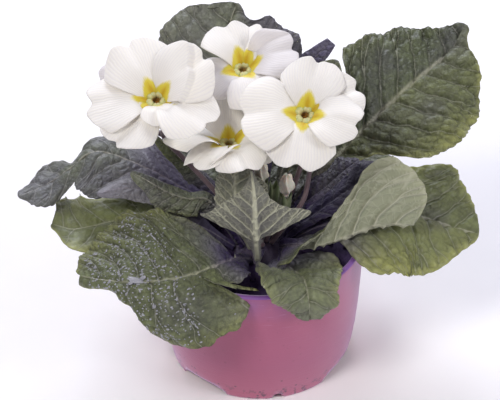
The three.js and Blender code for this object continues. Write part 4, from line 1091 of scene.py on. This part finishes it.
# Each flower's throat, where it faces, and its stalk's foot and middle; then its petals, by their
# turn seen from the front, their rise from the flat, and whatever differs from a plain petal.
FLOWERS = {
    "flower_left": {
        "throat": (-42.8, 4, 127.3), "faces": (-104, 66),
        "foot": (-2.8, -3.2, 58.2), "middle": (-19, 2, 82),
        "petals": [
            {"turn": 130, "rise": 9, "size": 1.04, "wide": 0.95, "layer": 1.4},
            {"turn": 49, "rise": 20, "size": 1.03, "wide": 0.96, "pleat": (1, -0.65, 3.5), "layer": 0.7},
            {"turn": -25, "rise": 5, "twist": -18, "layer": 0.1},
            {"turn": -60, "rise": 13, "size": 0.6, "twist": -6, "layer": 1.3, "notch": 0.02, "cup": 6,
             "droop": 1, "star": 6},
            {"turn": -117, "rise": 5, "wide": 0.88, "droop": 1, "layer": -1.4},
            {"turn": 197, "rise": 2, "size": 1.04, "twist": 6, "layer": 0.4},
        ],
    },
    "flower_top": {
        "throat": (-7.2, 27, 126.5), "faces": (-98, 76), "foot": (1, 3.4, 58.2), "middle": (-4, 16, 86),
        "petals": [
            {"turn": 122, "rise": 12, "size": 0.82, "wide": 1.12, "twist": 10, "layer": 0.8},
            {"turn": 68, "rise": 13, "size": 0.8, "wide": 1.08, "twist": -8, "layer": -0.6},
            {"turn": 22, "rise": 12, "size": 0.88, "wide": 1.05, "fold": (50, 0), "hinge": 0.5,
             "layer": 1.2, "shade": 0.45},
            {"turn": -52, "rise": 7, "size": 0.92, "wide": 1.1, "layer": -0.4, "shade": 0.25},
            {"turn": 213, "rise": 1, "size": 0.76, "layer": -0.8, "shade": 0.35},
        ],
    },
    "flower_right": {
        "throat": (18.6, -2, 124), "faces": (-94, 65), "foot": (4.8, 1.2, 58.2), "middle": (14, 7, 80),
        "petals": [
            {"turn": 80, "rise": 9, "size": 0.9, "layer": 0.6},
            {"turn": 30, "rise": 6, "size": 0.92, "layer": -0.6},
            {"turn": -94, "rise": 4, "size": 0.96, "layer": -1.0},
            {"turn": -18, "rise": 10, "size": 0.9, "layer": 0.8, "wide": 0.92},
            {"turn": 186, "rise": 6, "size": 0.98, "layer": 1.2, "wide": 1.16},
        ],
    },
    "flower_front": {
        "throat": (-13, 1, 106.5), "faces": (-100, 84), "foot": (1, -5.4, 58.2), "middle": (-6, -3, 76),
        "petals": [
            {"turn": 104, "rise": 23, "size": 0.82, "wide": 1.1, "star": 8},
            {"turn": 32, "rise": 14, "size": 0.8, "layer": -0.5},
            {"turn": -14, "rise": 0, "size": 0.76, "wide": 0.85, "layer": -0.8},
            {"turn": -58, "rise": 9, "size": 0.88, "wide": 0.86, "layer": 0.3},
            {"turn": -119, "rise": 7, "size": 0.86, "wide": 0.72, "twist": 16, "layer": -0.4},
            {"turn": 193, "rise": 2, "twist": 30, "layer": 0.6},
            # The narrow edge of one petal, folded up so that it crosses in front of the throat.
            {"turn": 231, "rise": -7, "size": 0.66, "wide": 0.24, "twist": 35, "cup": 2, "droop": 0,
             "ripple": 0.2, "notch": 0, "star": -9, "from": (6.5, -5.2, 10)},
        ],
    },
    "flower_hidden": {
        "throat": (-50, 31, 113), "faces": (-110, 66), "foot": (-2.8, 1.2, 58.2), "middle": (-17, 23, 82),
        "petals": [
            {"turn": turn, "rise": 8, "size": 0.74, "shade": 0.6} for turn in (112, 40, -32, -104, 184)
        ],
    },
}

# The anthers: five dusty orange pollen sacs, each split by a groove, grown to the tube just inside
# the throat.
POLLEN_SACS = 5

# Dry pollen is matt and grainy. The grains are drawn a quarter of a millimetre across so that they
# show.
pollen, tree, shader, where = new_material("anther_pollen", roughness=0.85)
grain = add(tree, "TexNoise", where, scale=4, detail=3)
dusty = add(tree, "Mix", grain, "#A2601C", "#D8A03C", data_type="RGBA")
bump = add(tree, "Bump", height=grain, strength=0.6, distance=0.0002)
feed(shader, base_color=dusty, normal=bump)


def anther_skins(stand):
    """The ring of pollen sacs."""
    skins = []
    for k in range(POLLEN_SACS):
        sac, faces = turned([(0, -1), (0.3, -0.8), (0.36, 0), (0.28, 0.8), (0, 1.05)], segments=14)
        groove = 1 - 0.18 * np.abs(np.cos(np.arctan2(sac[..., 1], sac[..., 0]))) ** 8
        sac[..., :2] *= groove[..., None]
        sac = swung(sac[..., 0] + 0.62, sac[..., 1], sac[..., 2] - 1.1, 2 * math.pi * k / POLLEN_SACS)
        skins.append(shell(put(sac, stand), faces, place=sac))
    return skins


for seed, (name, flower) in enumerate(FLOWERS.items(), 1):
    stand = flower_frame(flower["throat"], *flower["faces"])
    skins = [petal_skin(petal, stand, seed * 5 + k) for k, petal in enumerate(flower["petals"])]
    skins += tube_skins(stand)
    make_piece(name + "_corolla", skins, [petal_white, petal_white, throat_cream], name)
    make_piece(name + "_pollen_sacs", anther_skins(stand), [pollen], name + "_anthers")
    make_cup_and_stem(
        name, stand, flower["foot"], flower["middle"],
        depth=5, length=15, inner=1.9, outer=3.4, tooth=3.2, radius=1.15,
    )

# The buds: cream petals rolled round each other and standing out of a small calyx. The smallest
# is still shut inside its calyx.

# Young petals are denser than open ones: cream, satin, and streaked about 2 mm apart.
bud_cream, tree, shader, where = new_material("bud_petal_tissue", roughness=0.55, ior=1.38)
cloud = add(tree, "TexNoise", where, scale=0.5, detail=4)
cream = add(tree, "Mix", cloud, "#CCC6B0", "#F2EEE2", data_type="RGBA")
bump = add(tree, "Bump", height=cloud, strength=0.3, distance=0.0005)
feed(shader, base_color=cream, normal=bump, subsurface_weight=0.2, subsurface_scale=0.002)

BUD_ROWS = 40


def bud_skin(stand, length):
    """Petals rolled round each other, from inside the calyx to their tip."""
    profile = [(0, -5), (1, -4.6), (1.3, -1), (1.5, 1)]
    for girth, height in ((0.27, 0.3), (0.3, 0.48), (0.28, 0.68), (0.2, 0.86), (0.1, 0.96), (0, 1)):
        profile.append((length * girth, length * height))
    egg, faces = turned(through(profile, np.linspace(0, 1, BUD_ROWS)), segments=60)
    egg[[0, -1], :, :2] = 0
    turn = np.arctan2(egg[..., 1], egg[..., 0])
    fold = ((5 * turn / (2 * np.pi) + 0.09 * egg[..., 2]) % 1) ** 2
    egg[..., :2] *= (0.92 + 0.42 * (fold - 0.35) * smooth(egg[..., 2], 0, 3))[..., None]
    is_off_axis = np.hypot(egg[..., 0], egg[..., 1]) > 0.01
    egg[..., 2] += 1.5 * fold * smooth(egg[..., 2], length * 0.4, length) * is_off_axis
    return shell(put(egg, stand), faces, place=egg)


# Each bud's mouth, where it faces, how far its petals stand out, and its stalk's foot and middle.
BUDS = {
    "bud_middle": ((0.8, 2, 88), (-80, 80), 9, (-0.4, -1.8, 58.2), (0, 0, 66)),
    "bud_right": ((11, 0, 82), (-60, 84), 10.5, (2.4, -1.8, 58.2), (4.8, -1.5, 64)),
    "bud_small": ((6.4, 9, 80), (60, 80), 0, (1, 0.6, 58.2), (2.6, 3.4, 63)),
    "bud_behind": ((28, 12, 105), (-50, 60), 8, (4.8, -3.2, 58.2), (18.5, 0.5, 79)),
}
for name, (mouth, heading, length, foot, middle) in BUDS.items():
    stand = flower_frame(mouth, *heading)
    if length:
        make_piece(name + "_folded", [bud_skin(stand, length)], [bud_cream], name + "_petals")
    make_cup_and_stem(
        name, stand, foot, middle, depth=0, length=10, inner=1.6, outer=2.8, tooth=2.4, radius=1.1
    )

# The studio: a plain white floor, a broad soft light at the front left, a weaker one at the right,
# one behind for the leaves' shine, and the camera at the photograph's angle.
FLOOR_HALF = 4000.0

# Matt white paper, with clouds of fibre 25 mm across that hardly show.
paper, tree, shader, where = new_material("studio_paper", roughness=0.9)
fibre = add(tree, "TexNoise", where, scale=0.04, detail=3)
white = add(tree, "Mix", fibre, "#FAFAFA", "#FFFFFF", data_type="RGBA")
feed(shader, base_color=white)
corners = [(x * FLOOR_HALF, y * FLOOR_HALF, 0) for x, y in ((-1, -1), (1, -1), (1, 1), (-1, 1))]
floor = make_object("floor", [shell(corners, [(0, 1, 2, 3)])], [paper])

world = bpy.data.worlds.new("studio_air")
world.use_nodes = True
feed(world.node_tree.nodes["Background"], color="#E5DEF4", strength=0.35)
bpy.context.scene.world = world

PLANT_MIDDLE = Vector((0, 0, 0.07))


def aim(item, target):
    """Turns an object at its place to look at a target."""
    item.rotation_euler = (target - item.location).to_track_quat("-Z", "Y").to_euler()


# Each softbox's place and side in metres, its power in watts and its tint.
for name, place, size, power, tint in (
    ("key_softbox", (-0.8, -1.0, 1.55), 0.6, 15.8, "#FFFDF8"),
    ("fill_softbox", (1.3, -0.5, 0.9), 0.7, 8, "#FFFFFF"),
    ("back_softbox", (-0.25, 1.05, 1.05), 0.8, 16.5, "#F0F3FF"),
):
    data = bpy.data.lights.new(name, "AREA")
    data.shape = "SQUARE"
    data.size = size
    data.energy = power
    data.color = linear(tint)[:3]
    lamp = bpy.data.objects.new(name, data)
    lamp.location = place
    aim(lamp, PLANT_MIDDLE)
    bpy.context.scene.collection.objects.link(lamp)

# The camera looks down at 38.4 degrees from a metre away, with the pot's rim a little low of the
# middle of the frame.
CAMERA_ELEVATION = math.radians(38.4)
CAMERA_DISTANCE = 1.0
RIM_CENTRE = Vector((0, 0, 0.0625))
FRAME_WIDTH_PX = 500
FOCAL_LENGTH_PX = 2319
SHIFT_RIGHT_PX, SHIFT_UP_PX = -10.1, 30.4
SENSOR_WIDTH = 36
data = bpy.data.cameras.new("portrait")
data.sensor_width = SENSOR_WIDTH
data.lens = FOCAL_LENGTH_PX / FRAME_WIDTH_PX * SENSOR_WIDTH
data.shift_x = SHIFT_RIGHT_PX / FRAME_WIDTH_PX
data.shift_y = SHIFT_UP_PX / FRAME_WIDTH_PX
data.clip_end = 50
camera = bpy.data.objects.new("portrait", data)
back = Vector((0, -math.cos(CAMERA_ELEVATION), math.sin(CAMERA_ELEVATION)))
camera.location = RIM_CENTRE + back * CAMERA_DISTANCE
aim(camera, RIM_CENTRE)
bpy.context.scene.collection.objects.link(camera)
bpy.context.scene.camera = camera
bpy.context.scene.view_settings.view_transform = "Standard"
bpy.context.scene.view_settings.look = "None"
